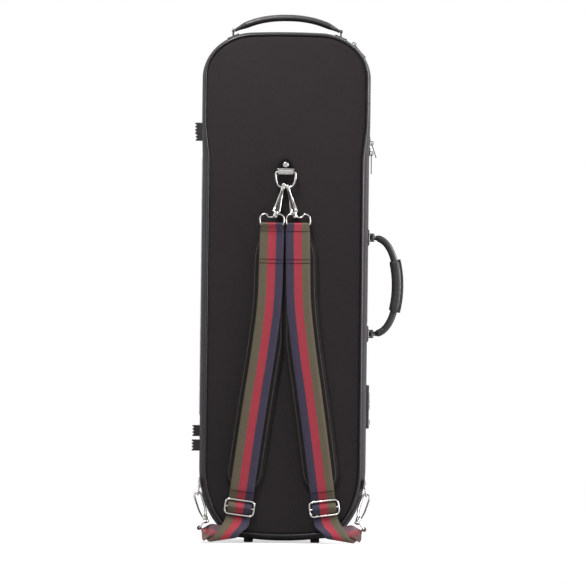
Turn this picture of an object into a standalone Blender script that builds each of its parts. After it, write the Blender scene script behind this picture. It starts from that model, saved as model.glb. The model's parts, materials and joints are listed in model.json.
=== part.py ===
"""Oblong violin case, full size, standing on its lower end. Metres, +Z up.

+X is the handle side, -X the hinged spine, -Y the back with the shoulder straps, +Y the lid.
Inside this file x runs from the case's centre line, y from the parting plane between bottom
shell and lid, and z from the floor. One empty moves all of it so that the origin lies at the
bottom centre of the whole object's box.
"""

import math

import bmesh
import bpy
from mathutils import Matrix, Vector

# Case: overall sizes
CASE_WIDTH = 0.259
CASE_HEIGHT = 0.790
SHELL_DEPTH = 0.080
LID_DEPTH = 0.055
WALL = 0.007
END_FOOT_HEIGHT = 0.003
CLEARANCE = 0.0003
PARTING_GAP = 0.0004
OVERRUN = 0.002

# Case: outline and walls
TOP_CORNER_WIDTH = 0.080
TOP_CORNER_HEIGHT = 0.070
BOTTOM_CORNER_WIDTH = 0.067
BOTTOM_CORNER_HEIGHT = 0.110
TOP_CROWN = 0.001
BOTTOM_CROWN = 0.004
CORNER_STEPS = 7
EDGE_STEPS = 3
SEAT_STEPS = 16
SIDE_STATION_SHARES = (0.0, 0.2, 0.4, 0.6, 0.74, 0.79, 0.83, 0.87, 0.93)
PANEL_INSET = 0.0095
SHOULDER_INSET = 0.0035
SHOULDER_BULGE = 0.0015
SHOULDER_SHARE = 0.785
SHOULDER_BLEND = 0.065
FRONT_INSET = 0.007
WALL_PROFILE_SHARES = ((0.02, 0.78), (0.10, 0.45), (0.24, 0.16), (0.45, 0.0))
PIPING_RADIUS = 0.0016
PIPING_GROOVE = 0.0014
RIM_BAND = 0.014
REBATE = 0.0026

# Zipper
TAPE_THICKNESS = 0.0012
TEETH_WIDTH = 0.0024
TAPE_END_GAP = 0.006
SLIDER_LENGTH = 0.013
SLIDER_WIDTH = 0.009
SLIDER_THICKNESS = 0.002
SLIDER_SHARE = 0.786
SLIDER_SPACING = 0.016
BAIL_LENGTH = 0.007
SLIDER_SHIFT = 0.003
BAIL_HEIGHT = 0.0048
BAIL_WIRE = 0.0013
BAIL_WIDTH = 0.0016
PULL_THICKNESS = 0.0014
PULL_WIDTH = 0.007
PULL_END_WIDTH = 0.0045
PULL_HOLE = 0.0034
PULL_BAR = 0.0016
PULL_REACH = 0.0050
UPPER_PULL_LENGTH = 0.024
LOWER_PULL_LENGTH = 0.032
POCKET_PULL_LENGTH = 0.028
UPPER_PULL_TILT_DEG = 18.0
POCKET_PULL_TILT_DEG = -12.0

# Hinge
LEAF_THICKNESS = 0.0008
KNUCKLE_RADIUS = 0.0020
KNUCKLE_PITCH = 0.040
KNUCKLE_GAP = 0.0004
HINGE_KNUCKLES = 10
HINGE_BOTTOM_SHARE = 0.245
CURL_STEPS = 8
CURL_DEG = 290.0
PIN_RADIUS = 0.0009
PIN_HEAD_RADIUS = 0.0018
PIN_HEAD = 0.0012

# Feet
END_FOOT_WIDTH = 0.014
END_FOOT_LENGTH = 0.030
END_FOOT_SHARE = 0.40
SPINE_FOOT_PROUD = 0.012
SPINE_FOOT_HEIGHT = 0.017
SPINE_FOOT_LENGTH = 0.026
SPINE_FOOT_RIBS = 4
SPINE_FOOT_RIB_DEPTH = 0.002
SHELL_FOOT_SHARES = (0.186, 0.811)
LID_FOOT_SHARES = (0.213, 0.799)

# Side handle
HANDLE_SHARE = 0.504
HANDLE_SPAN = 0.150
HANDLE_REACH = 0.0545
HANDLE_DEPTH_SHARE = 0.42
ARM_RADIUS = 0.0055
GRIP_RADIUS = 0.0085
GRIP_HALF_SHARE = 0.50
HANDLE_STEPS = 22
HANDLE_SIDES = 8
EYE_RADIUS = 0.0042
EYE_HEIGHT = 0.0080
EYE_PIN_RADIUS = 0.0016
BRACKET_THICKNESS = 0.0018
BRACKET_EAR = 0.0022
BRACKET_WIDTH = 0.022
BRACKET_EAR_WIDTH = 0.0084
BRACKET_MARGIN = 0.006

# Top handle
TOP_HANDLE_SPAN = 0.168
TOP_HANDLE_RISE = 0.0185
TOP_HANDLE_THICKNESS = 0.009
TOP_HANDLE_WIDTH = 0.022
TOP_HANDLE_END = 0.005
TOP_HANDLE_DEPTH_SHARE = 0.40
TOP_HANDLE_STEPS = 16
TOP_STEM_RADIUS = 0.0017
TOP_STEM_HEIGHT = 0.0115
TOP_EYE_RADIUS = 0.0030
TOP_PIN_RADIUS = 0.0013
TOP_PIN_LENGTH = 0.008
TOP_PLATE_LENGTH = 0.018
TOP_PLATE_WIDTH = 0.014
TOP_PLATE_THICKNESS = 0.0016

# Combination lock
LOCK_SHARE = 0.265
LOCK_LENGTH = 0.068
LOCK_WIDTH = 0.029
LOCK_PROUD = 0.0045
LOCK_CORNER = 0.006
LOCK_CASE_LENGTH = 0.058
LOCK_CASE_WIDTH = 0.012
LOCK_CASE_DEPTH = 0.0045
LOCK_FRONT_GAP = 0.0035
WHEEL_RADIUS = 0.0052
WHEEL_THICKNESS = 0.0040
WHEEL_PITCH = 0.0078
WHEEL_COUNT = 3
WHEEL_HIGH_OFFSET = 0.018
WHEEL_SIDES = 20
WHEEL_AXLE_RADIUS = 0.0010
WHEEL_AXLE_HEIGHT = 0.0008
WHEEL_SLOT = 0.0065
BUTTON_RADIUS = 0.0040
BUTTON_PROUD = 0.0018
BUTTON_TRAVEL = 0.0015
BUTTON_STEM = 0.0040
BUTTON_LOW_OFFSET = 0.024
TONGUE_WIDTH = 0.012
TONGUE_THICKNESS = 0.0013
TONGUE_REACH = 0.010
TONGUE_CLEARANCE = 0.0007
TONGUE_LOW_OFFSET = 0.009
STRIKE_LENGTH = 0.040
STRIKE_WIDTH = 0.020

# Strap anchor and snap hooks
ANCHOR_SHARE = 0.7395
ANCHOR_WIDTH = 0.026
ANCHOR_HEIGHT = 0.019
ANCHOR_THICKNESS = 0.005
RING_STANDOFF = 0.0082
RING_WIRE = 0.0016
RING_WIDTH = 0.034
RING_HEIGHT = 0.027
ANCHOR_ROLL = 0.0034
HOOK_LENGTH = 0.0425
HOOK_LOOP = 0.0055
HOOK_WIRE = 0.0017
HOOK_BASE_HALF = 0.0066
HOOK_TIP_HALF = 0.0026
HOOK_SPREAD = 0.0040
BARREL_RADIUS = 0.0042
BARREL_LENGTH = 0.010
BARREL_SPREAD = 0.0150
BARREL_TILT = 0.0019
GATE_WIRE = 0.0013
NOSE_LENGTH = 0.004
WEB_EYE_WIDTH = 0.0372
WEB_EYE_LEAN = 0.0052
FOLDED_WIDTH = 0.031
WEB_EYE_DROP = 0.0125
WEB_EYE_WIRE = 0.0013

# Shoulder straps
WEBBING_WIDTH = 0.038
WEBBING_THICKNESS = 0.0018
STRAP_HEIGHT_SHARES = (1.0, 0.862, 0.732, 0.565, 0.398, 0.230, 0.063, -0.065)
STRAP_SIDE_SHARES = (0.152, 0.163, 0.170, 0.236, 0.322, 0.402, 0.478, 0.536)
PAD_WIDTH = 0.058
PAD_THICKNESS = 0.0070
PAD_TOP_SHARE = 0.975
PAD_BOTTOM_SHARE = 0.066
PAD_STEPS = 19
PAD_TOP_TAPER = 0.052
PAD_BOTTOM_TAPER = 0.030
PAD_END_SHARE = 0.12
PAD_EDGE_SHARE = 0.45
PAD_SECTION_SHARES = (
    (-0.96, 0.12), (-1.0, 0.40), (-0.90, 0.80), (-0.72, 1.0), (0.72, 1.0), (0.90, 0.80), (1.0, 0.40), (0.96, 0.12),
)
STRAP_STEP_SHARE = 0.035
ADJUSTER_SHARE = 0.0660
ADJUSTER_WIDTH = 0.048
ADJUSTER_HEIGHT = 0.026
ADJUSTER_WIRE = 0.0015
ADJUSTER_CORNER = 0.006
ADJUSTER_LAP = 0.0022
TAIL_STEPS = 4
TAIL_LEAD = 0.004
TAIL_FORWARD = 0.0185
TAIL_FOLD_RADIUS = 0.0055
TAIL_FOLD_SHARE = 0.32
TAIL_FOLD_TILT_DEG = 9.0
TAIL_FOLD_TURN_DEG = 165.0
TAIL_DRIFT = 0.0032
TAIL_SKEW_SHARE = 0.88
TAIL_TWIST_PLACE_SHARES = (0.58, 0.30, 0.60)
TAIL_TWIST_SHARES = (0.40, -0.62, -0.66)
FOLD_STEPS = 4
FOLD_RUN = 0.011

# Corner rings and lower hooks
CORNER_RING_SHARE = 0.114
CORNER_RING_DEPTH_SHARE = 0.84
CORNER_RING_WIDTH = 0.020
CORNER_RING_DROP = 0.019
CORNER_RING_OUT = 0.0064
CORNER_TAB_HEIGHT = 0.016
CORNER_TAB_THICKNESS = 0.0025
LOWER_HOOK_LENGTH = 0.041
LOWER_HOOK_LEAN = 0.013
LOWER_HOOK_FORWARD = 0.012
LOWER_EYE_LEAN = 0.008
LOWER_EYE_TILT_DEG = 5.0

# Interior
LINING_DROP = 0.014
LINING_FLOOR = 0.008
LINING_GAP = 0.002
VIOLIN_LENGTH = 0.364
VIOLIN_HALF_WIDTH = 0.108
VIOLIN_BASE = 0.018
VIOLIN_SHARES = (
    (0.0, 0.0), (0.012, 0.42), (0.075, 0.80), (0.20, 1.0), (0.33, 0.93), (0.43, 0.68),
    (0.52, 0.58), (0.62, 0.62), (0.72, 0.78), (0.83, 0.83), (0.94, 0.70), (0.995, 0.36),
)
VIOLIN_CURVE_STEPS = 2
NECK_HALF_WIDTH = 0.036
NECK_CHANNEL_TOP_SHARE = 0.845
WELL_HALF_GAP = 0.010
WELL_OUTER_MARGIN = 0.012
WELL_BOTTOM_SHARE = 0.560
WELL_TOP_SHARE = 0.830
BOX_BOTTOM_SHARE = 0.880
BOX_LENGTH = 0.050
BOX_HALF_WIDTH = 0.078
BOX_LID_MARGIN = 0.004
BOX_LID_THICKNESS = 0.003
CRADLE_SHARE = 0.620
CRADLE_LENGTH = 0.040
CRADLE_NOTCH = 0.020
CRADLE_TOP_DROP = 0.020
CRADLE_NOTCH_STEPS = 8
LID_LINING_THICKNESS = 0.003
SLEEVE_WIDTH = 0.028
SLEEVE_HEIGHT = 0.030
SLEEVE_THICKNESS = 0.008
SLEEVE_SHARE = 0.945
BOW_OFFSET = 0.045
TOGGLE_SHARE = 0.160
TOGGLE_LENGTH = 0.034
TOGGLE_WIDTH = 0.009
TOGGLE_THICKNESS = 0.004
TOGGLE_POST_RADIUS = 0.0045
TOGGLE_POST = 0.011

# Music pocket on the lid
POCKET_INSET = 0.022
POCKET_THICKNESS = 0.011
POCKET_CROWN_SHARES = ((0.0, 0.10), (0.35, 0.0), (0.75, 0.12), (0.95, 0.42), (1.0, 1.0))
POCKET_CROWN_INSET = 0.024
POCKET_SLIDER_CORNER_SHARE = 0.55
POCKET_SLIDER_DEPTH_SHARE = 0.55

SMALL_BEVEL = 0.0006
SOFT_BEVEL = 0.0015
FLOOR_LIFT = 0.0006
ROUND_SIDES = 12
FEW_SIDES = 8

BODY_BOTTOM = END_FOOT_HEIGHT
BODY_TOP = BODY_BOTTOM + CASE_HEIGHT
HALF_WIDTH = CASE_WIDTH / 2
BACK = -SHELL_DEPTH
FRONT = LID_DEPTH
RIM = PARTING_GAP / 2
RIGHT, LEFT = 1, -1

FINISHES = {
    "canvas": ((0.045, 0.041, 0.044), 0.85, 0.0),
    "soft_black": ((0.02, 0.02, 0.022), 0.8, 0.0),
    "leather": ((0.035, 0.034, 0.036), 0.45, 0.0),
    "webbing": ((0.20, 0.06, 0.09), 0.8, 0.0),
    "plush": ((0.16, 0.02, 0.04), 0.95, 0.0),
    "chrome": ((0.78, 0.78, 0.80), 0.2, 1.0),
    "steel": ((0.55, 0.56, 0.58), 0.35, 1.0),
    "black_metal": ((0.05, 0.05, 0.055), 0.4, 0.9),
    "plastic": ((0.03, 0.03, 0.03), 0.5, 0.0),
    "rubber": ((0.02, 0.02, 0.02), 0.7, 0.0),
}


def clear_scene():
    for obj in list(bpy.data.objects):
        bpy.data.objects.remove(obj, do_unlink=True)


def finish(name):
    material = bpy.data.materials.get(name)
    if material:
        return material
    colour, roughness, metallic = FINISHES[name]
    material = bpy.data.materials.new(name)
    material.use_nodes = True
    shader = material.node_tree.nodes["Principled BSDF"]
    shader.inputs["Base Color"].default_value = (*colour, 1.0)
    shader.inputs["Roughness"].default_value = roughness
    shader.inputs["Metallic"].default_value = metallic
    return material


def up(share):
    """Height above the floor of a share of the case's height."""
    return BODY_BOTTOM + share * CASE_HEIGHT


def smooth(value):
    value = min(1.0, max(0.0, value))
    return value * value * (3 - 2 * value)


def blend(table, value):
    """Reads a smooth curve through (place, value) rows in rising order of place."""
    rows = sorted(table)
    if value <= rows[0][0]:
        return rows[0][1]
    for (a, low), (b, high) in zip(rows, rows[1:]):
        if value <= b:
            return low + (high - low) * (value - a) / (b - a)
    return rows[-1][1]


def add(name, shape, finish_name, parent, origin=(0, 0, 0), bevel=0.0, helper=False):
    """Makes an object from (points, faces) given in the case's frame, with its origin at a point."""
    origin = Vector(origin)
    points, faces = shape
    mesh = bpy.data.meshes.new(name)
    mesh.from_pydata([Vector(point) - origin for point in points], [], faces)
    made = bmesh.new()
    made.from_mesh(mesh)
    bmesh.ops.recalc_face_normals(made, faces=made.faces)
    made.to_mesh(mesh)
    made.free()
    mesh.shade_smooth()
    mesh.set_sharp_from_angle(angle=math.radians(35))
    obj = bpy.data.objects.new(name, mesh)
    bpy.context.scene.collection.objects.link(obj)
    obj.parent = parent
    obj.location = origin
    if helper:
        obj.hide_render = True
        obj.display_type = "WIRE"
    else:
        mesh.materials.append(finish(finish_name))
    if bevel:
        edge = obj.modifiers.new("edge", "BEVEL")
        edge.width = bevel
        edge.segments = 1
        edge.angle_limit = math.radians(40)
    return obj


def combine(obj, operation, *shapes):
    """Joins shapes to an object, or cuts them out of it."""
    obj.data.shade_flat()
    for shape in shapes:
        tool_name = f"{obj.name}.{operation.lower()}{len(obj.modifiers)}"
        tool = add(tool_name, shape, None, obj.parent, helper=True)
        modifier = obj.modifiers.new(operation.lower(), "BOOLEAN")
        modifier.operation = operation
        modifier.solver = "EXACT"
        modifier.object = tool
    return obj


def loft(rings, closed=False):
    """A skin through rings of points. Its ends are capped or, when closed, joined."""
    count = len(rings[0])
    points = [tuple(point) for ring in rings for point in ring]
    faces = []
    for k in range(len(rings) if closed else len(rings) - 1):
        a, b = k * count, (k + 1) % len(rings) * count
        for i in range(count):
            j = (i + 1) % count
            faces.append((a + i, a + j, b + j, b + i))
    if not closed:
        faces.append(tuple(range(count)))
        faces.append(tuple(range(len(points) - count, len(points))))
    return points, faces


def box(low, high):
    (x0, y0, z0), (x1, y1, z1) = low, high
    bottom = [(x0, y0, z0), (x1, y0, z0), (x1, y1, z0), (x0, y1, z0)]
    top = [(x0, y0, z1), (x1, y0, z1), (x1, y1, z1), (x0, y1, z1)]
    return loft([bottom, top])


def prism(outline, axis, start, end):
    """Extrudes a flat outline along x, y or z. Its points hold the other two values in order."""
    def at(level):
        if axis == "x":
            return [(level, a, b) for a, b in outline]
        if axis == "y":
            return [(a, level, b) for a, b in outline]
        return [(a, b, level) for a, b in outline]
    return loft([at(start), at(end)])


def frames(path, closed):
    """For each point of a path: the point and two directions square to it, without twist."""
    path = [Vector(point) for point in path]
    count = len(path)
    tangents = []
    for i, point in enumerate(path):
        before = path[i - 1] if closed or i else point
        after = path[(i + 1) % count] if closed or i < count - 1 else point
        tangents.append((after - before).normalized())
    aside = tangents[0].orthogonal().normalized()
    if abs(tangents[0].y) < 0.9:
        aside = tangents[0].cross(Vector((0, 1, 0))).normalized()
    found = []
    for point, tangent in zip(path, tangents):
        aside = (aside - tangent * aside.dot(tangent)).normalized()
        found.append((point, aside, tangent.cross(aside)))
    return found


def tube(path, radius, sides=FEW_SIDES, closed=False):
    """A round or, with (a, b) radii, an oval tube. The radius may be a list, one for each point."""
    radii = radius if isinstance(radius, list) else [radius] * len(path)
    rings = []
    for (point, aside, across), size in zip(frames(path, closed), radii):
        a, b = size if isinstance(size, tuple) else (size, size)
        turns = [2 * math.pi * (k + 0.5) / sides for k in range(sides)]
        rings.append([point + aside * (a * math.cos(t)) + across * (b * math.sin(t)) for t in turns])
    return loft(rings, closed)


def ring_shape(centre, axis, outer, inner, length, sides=ROUND_SIDES):
    """A short hollow cylinder centred at a point."""
    axis = Vector(axis).normalized()
    aside = axis.orthogonal().normalized()
    across = axis.cross(aside)
    rings = []
    for k in range(sides):
        turn = 2 * math.pi * (k + 0.5) / sides
        out = aside * math.cos(turn) + across * math.sin(turn)
        section = ((outer, -1), (outer, 1), (inner, 1), (inner, -1))
        rings.append([Vector(centre) + out * r + axis * (side * length / 2) for r, side in section])
    return loft(rings, closed=True)


def rounded(low, high, radius, steps=4):
    """A rectangle with round corners, as an outline for a prism."""
    (a0, b0), (a1, b1) = low, high
    corners = ((a1, b1, -1, -1, 0), (a0, b1, 1, -1, 90), (a0, b0, 1, 1, 180), (a1, b0, -1, 1, 270))
    points = []
    for a, b, inward_a, inward_b, first in corners:
        points += arc((a + inward_a * radius, b + inward_b * radius), radius, first, first + 90, steps)
    return points


def arc(centre, radius, start_deg, end_deg, steps):
    turns = [math.radians(start_deg + (end_deg - start_deg) * k / steps) for k in range(steps + 1)]
    return [(centre[0] + radius * math.cos(t), centre[1] + radius * math.sin(t)) for t in turns]


def moved(shape, matrix):
    points, faces = shape
    return [tuple(matrix @ Vector(point)) for point in points], faces


def half_outline():
    """The right half of the outline from the bottom's middle to the top's middle, as (x, z)."""
    bottom_flat = HALF_WIDTH - BOTTOM_CORNER_WIDTH
    top_flat = HALF_WIDTH - TOP_CORNER_WIDTH
    low = BODY_BOTTOM + BOTTOM_CROWN + BOTTOM_CORNER_HEIGHT
    high = BODY_TOP - TOP_CROWN - TOP_CORNER_HEIGHT
    points = []
    for k in range(EDGE_STEPS):
        share = k / EDGE_STEPS
        points.append((bottom_flat * share, BODY_BOTTOM + BOTTOM_CROWN * share * share))
    for k in range(CORNER_STEPS):
        turn = math.pi / 2 * k / CORNER_STEPS
        x = bottom_flat + BOTTOM_CORNER_WIDTH * math.sin(turn)
        points.append((x, low - BOTTOM_CORNER_HEIGHT * math.cos(turn)))
    for share in SIDE_STATION_SHARES:
        points.append((HALF_WIDTH, low + (high - low) * share))
    for k in range(CORNER_STEPS):
        turn = math.pi / 2 * k / CORNER_STEPS
        x = top_flat + TOP_CORNER_WIDTH * math.cos(turn)
        points.append((x, high + TOP_CORNER_HEIGHT * math.sin(turn)))
    for k in range(EDGE_STEPS + 1):
        share = 1 - k / EDGE_STEPS
        points.append((top_flat * share, BODY_TOP - TOP_CROWN * share * share))
    return points


def case_outline():
    """The whole outline with its outward directions: (x, z, outward x, outward z)."""
    right = half_outline()
    points = right + [(-x, z) for x, z in reversed(right[1:-1])]
    found = []
    for i, (x, z) in enumerate(points):
        (ax, az), (bx, bz) = points[i - 1], points[(i + 1) % len(points)]
        length = math.hypot(bx - ax, bz - az)
        found.append((x, z, (bz - az) / length, -(bx - ax) / length))
    return found


OUTLINE = case_outline()


def shoulder(z):
    """0 along the sides, 1 at the shoulders and the top, where the back panel is wider."""
    return smooth((z - up(SHOULDER_SHARE)) / SHOULDER_BLEND + 0.5)


def back_inset(z):
    return PANEL_INSET + (SHOULDER_INSET - PANEL_INSET) * shoulder(z)


def front_inset(z):
    return FRONT_INSET


def outline_ring(y, inset):
    """One ring of the case at a depth. The inset is a length, or a function of the height."""
    ring = []
    for x, z, out_x, out_z in OUTLINE:
        size = inset(z) if callable(inset) else inset
        ring.append((x - out_x * size, y, z - out_z * size))
    return ring


def case_half(face, panel_inset, depth):
    """Half a case from its big panel over the wall to the rim and back down inside."""
    toward_rim = -math.copysign(1, face)

    def level(down, extra, share=1.0):
        return outline_ring(face + toward_rim * down, lambda z: panel_inset(z) * share + extra)

    radius = PIPING_RADIUS
    rings = [
        level(0, radius + PIPING_GROOVE),
        level(PIPING_GROOVE, radius + PIPING_GROOVE / 2),
        level(0, radius),
        level(-radius * math.sin(math.pi / 3), radius / 2),
        level(-radius * math.sin(math.pi / 3), -radius / 2),
        level(PIPING_GROOVE / 2, -radius),
    ]
    for down, share in WALL_PROFILE_SHARES:
        place = PIPING_GROOVE + down * depth
        rings.append(outline_ring(
            face + toward_rim * place,
            lambda z, s=share: panel_inset(z) * s - SHOULDER_BULGE * shoulder(z) * (1 - s),
        ))
    rings += [
        outline_ring(-toward_rim * RIM_BAND, 0),
        outline_ring(-toward_rim * RIM_BAND, REBATE),
        outline_ring(-toward_rim * RIM, REBATE),
        outline_ring(-toward_rim * RIM, WALL),
        level(WALL, WALL),
    ]
    return loft(rings)


def wall_inset(y):
    """How far the bottom shell's straight side wall lies inside the outline at a depth."""
    share = (y - BACK - PIPING_GROOVE) / SHELL_DEPTH
    return PANEL_INSET * blend(((0, 1.0), *WALL_PROFILE_SHARES), share)


def side_x(z, y=0.0):
    """Half the case's width at a height, from the outline."""
    right = half_outline()
    for (ax, az), (bx, bz) in zip(right, right[1:]):
        if az <= z <= bz and bz > az:
            return ax + (bx - ax) * (z - az) / (bz - az) - (wall_inset(y) if y < 0 else 0)
    return HALF_WIDTH


def seat_line(low, high, y):
    """Ends of the straight line that a flat piece on the curved side wall rests along."""
    a, b = side_x(low, y), side_x(high, y)
    swell = 0.0
    for k in range(SEAT_STEPS + 1):
        share = k / SEAT_STEPS
        swell = max(swell, side_x(low + (high - low) * share, y) - a - (b - a) * share)
    return a + swell + CLEARANCE, b + swell + CLEARANCE


def end_z(x, end):
    """Height of the case's bottom (-1) or top (1) edge at a distance from the centre line."""
    right = half_outline()
    if end > 0:
        right = right[::-1]
    for (ax, az), (bx, bz) in zip(right, right[1:]):
        if ax <= x <= bx:
            return az + (bz - az) * (x - ax) / (bx - ax)
    return right[-1][1]


HINGE_LENGTH = KNUCKLE_PITCH * HINGE_KNUCKLES
HINGE_BOTTOM = up(HINGE_BOTTOM_SHARE)
HINGE_TOP = HINGE_BOTTOM + HINGE_LENGTH
HINGE_X = -(HALF_WIDTH - REBATE) - CLEARANCE - KNUCKLE_RADIUS
BORE_RADIUS = KNUCKLE_RADIUS - LEAF_THICKNESS
SIDE_HANDLE_Z = up(HANDLE_SHARE)
SIDE_HANDLE_Y = BACK * HANDLE_DEPTH_SHARE
SIDE_HANDLE_X = HALF_WIDTH + BRACKET_THICKNESS + EYE_RADIUS + CLEARANCE * 2
TOP_HANDLE_Y = BACK * TOP_HANDLE_DEPTH_SHARE
LOCK_Z = up(LOCK_SHARE)
LOCK_TOP = HALF_WIDTH + LOCK_PROUD
LOCK_MIDDLE_Y = -LOCK_FRONT_GAP - LOCK_WIDTH / 2
LOCK_CASE_Y = -RIM_BAND - OVERRUN - LOCK_CASE_WIDTH / 2
WHEEL_X = HALF_WIDTH + WHEEL_AXLE_HEIGHT
LINING_TOP = -LINING_DROP
BOX_BOTTOM = up(BOX_BOTTOM_SHARE)
BOX_HINGE_Y = LINING_TOP + CLEARANCE + BOX_LID_THICKNESS / 2
BOX_HINGE_Z = BOX_BOTTOM - BOX_LID_MARGIN
LID_FLOOR = FRONT - WALL
LID_LINING_FACE = LID_FLOOR - CLEARANCE - LID_LINING_THICKNESS
HOOK_Y = BACK - RING_STANDOFF
HANDLE_TIP = HALF_WIDTH + HANDLE_REACH
SPINE_TIP = -(HALF_WIDTH + SPINE_FOOT_PROUD)


def tape_path():
    """The outline's points from the hinge's foot round the open sides to the hinge's head."""
    gap = TAPE_END_GAP
    low, high = HINGE_BOTTOM - gap, HINGE_TOP + gap
    left_side = [p for p in OUTLINE if p[0] < 0 and p[1] < low]
    kept_low = sorted(left_side, key=lambda p: -p[1])
    rising = [p for p in OUTLINE if p[0] >= 0]
    kept_high = sorted([p for p in OUTLINE if p[0] < 0 and p[1] > high], key=lambda p: -p[1])
    start = (-HALF_WIDTH, low, -1.0, 0.0)
    end = (-HALF_WIDTH, high, -1.0, 0.0)
    return [start, *kept_low, *rising, *kept_high, end]


def zipper_tape(side):
    """A band in the rim's rebate with a raised row of teeth, nowhere beyond the hinge's axis."""
    deep = REBATE - CLEARANCE
    shallow = deep - TAPE_THICKNESS
    edge = RIM_BAND - CLEARANCE
    section = (
        (deep, edge), (deep, RIM), (0, RIM), (0, TEETH_WIDTH), (shallow, TEETH_WIDTH + TAPE_THICKNESS),
        (shallow, edge),
    )
    rings = []
    for x, z, out_x, out_z in tape_path():
        rings.append([(max(x - out_x * inset, HINGE_X), side * y, z - out_z * inset) for inset, y in section])
    return loft(rings)


def leaf_profile(side):
    """A hinge leaf seen along its pin: a flat plate on the wall that rolls round the pin."""
    outer, inner = KNUCKLE_RADIUS, BORE_RADIUS
    plate = RIM_BAND - CLEARANCE
    rolled_out = arc((HINGE_X, 0), outer, 0, CURL_DEG, CURL_STEPS)
    rolled_in = arc((HINGE_X, 0), inner, CURL_DEG, 0, CURL_STEPS)
    outline = [(HINGE_X + outer, -plate), *rolled_out, *rolled_in, (HINGE_X + inner, -plate)]
    return [(x, -side * y) for x, y in outline]


def hinge_leaf(name, side, first, parent):
    """Every other knuckle is cut away, down to where the other leaf's knuckle turns."""
    obj = add(name, prism(leaf_profile(side), "z", HINGE_BOTTOM, HINGE_TOP), "steel", parent,
              (HINGE_X, 0, HINGE_BOTTOM))
    reach = KNUCKLE_RADIUS + CLEARANCE
    for k in range(1 - first, HINGE_KNUCKLES, 2):
        low = HINGE_BOTTOM + k * KNUCKLE_PITCH - KNUCKLE_GAP / 2
        high = low + KNUCKLE_PITCH + KNUCKLE_GAP
        combine(obj, "DIFFERENCE", box((HINGE_X - reach - OVERRUN, -reach, low),
                                       (HINGE_X + reach + OVERRUN, reach, high)))
    return obj


def make_hinge(root):
    hinge_leaf("hinge_leaf_shell", -1, 0, root)
    hinge_leaf("hinge_leaf_lid", 1, 1, root)
    top = HINGE_TOP + CLEARANCE
    path = [(HINGE_X, 0, HINGE_BOTTOM), (HINGE_X, 0, top), (HINGE_X, 0, top),
            (HINGE_X, 0, top + PIN_HEAD)]
    rings = []
    for point, radius in zip(path, (PIN_RADIUS, PIN_RADIUS, PIN_HEAD_RADIUS, PIN_HEAD_RADIUS)):
        rings.append([(x, y, point[2]) for x, y in arc(point[:2], radius, 0, 330, ROUND_SIDES - 1)])
    add("hinge_pin", loft(rings), "steel", root, (HINGE_X, 0, HINGE_BOTTOM))


def make_shells(root):
    shell = add("bottom_shell", case_half(BACK, back_inset, SHELL_DEPTH), "canvas", root)
    half = LOCK_CASE_LENGTH / 2 + CLEARANCE
    wide = LOCK_CASE_WIDTH / 2 + CLEARANCE
    combine(shell, "DIFFERENCE", box(
        (HALF_WIDTH - LOCK_CASE_DEPTH - CLEARANCE, LOCK_CASE_Y - wide, LOCK_Z - half),
        (HALF_WIDTH + OVERRUN, LOCK_CASE_Y + wide, LOCK_Z + half)))
    add("lid_shell", case_half(FRONT, front_inset, LID_DEPTH), "canvas", root, (HINGE_X, 0, HINGE_BOTTOM))
    add("zipper_tape_shell", zipper_tape(-1), "plastic", root)
    add("zipper_tape_lid", zipper_tape(1), "plastic", root, (HINGE_X, 0, HINGE_BOTTOM))


def end_foot(name, side, y, root):
    """A rubber strip across an end, its top following the case's curved bottom."""
    inner = HALF_WIDTH * END_FOOT_SHARE - END_FOOT_WIDTH / 2
    outer = inner + END_FOOT_WIDTH
    low = end_z(inner, -1) - CLEARANCE
    high = end_z(outer, -1) - CLEARANCE
    chamfer = END_FOOT_HEIGHT / 3
    outline = [(inner + chamfer, 0), (outer - chamfer, 0), (outer, chamfer), (outer, high), (inner, low),
               (inner, chamfer)]
    half = END_FOOT_LENGTH / 2
    add(name, prism([(side * x, z) for x, z in outline], "y", y - half, y + half), "rubber", root)


def spine_foot(name, share, y, root):
    """A ribbed block on the spine, for the case to lie on its side."""
    z = up(share)
    inner = -HALF_WIDTH - CLEARANCE - SHOULDER_BULGE * shoulder(z)
    outer = SPINE_TIP
    low = z - SPINE_FOOT_HEIGHT / 2
    step = SPINE_FOOT_HEIGHT / (2 * SPINE_FOOT_RIBS - 1)
    outline = [(inner, low)]
    for k in range(2 * SPINE_FOOT_RIBS - 1):
        depth = outer + (SPINE_FOOT_RIB_DEPTH if k % 2 else 0)
        outline += [(depth, low + k * step), (depth, low + (k + 1) * step)]
    outline.append((inner, low + SPINE_FOOT_HEIGHT))
    half = SPINE_FOOT_LENGTH / 2
    add(name, prism(outline, "y", y - half, y + half), "rubber", root)


def make_feet(root):
    shell_y = -RIM_BAND - OVERRUN - END_FOOT_LENGTH / 2
    lid_y = RIM_BAND + OVERRUN + END_FOOT_LENGTH / 2 - OVERRUN
    for word, side in (("left", LEFT), ("right", RIGHT)):
        end_foot(f"end_foot_shell_{word}", side, shell_y, root)
        end_foot(f"end_foot_lid_{word}", side, lid_y, root)
    spine_shell_y = -RIM_BAND - OVERRUN - SPINE_FOOT_LENGTH / 2
    spine_lid_y = RIM_BAND + OVERRUN + SPINE_FOOT_LENGTH / 2
    for word, shell_share, lid_share in zip(("lower", "upper"), SHELL_FOOT_SHARES, LID_FOOT_SHARES):
        spine_foot(f"spine_foot_shell_{word}", shell_share, spine_shell_y, root)
        spine_foot(f"spine_foot_lid_{word}", lid_share, spine_lid_y, root)


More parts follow.
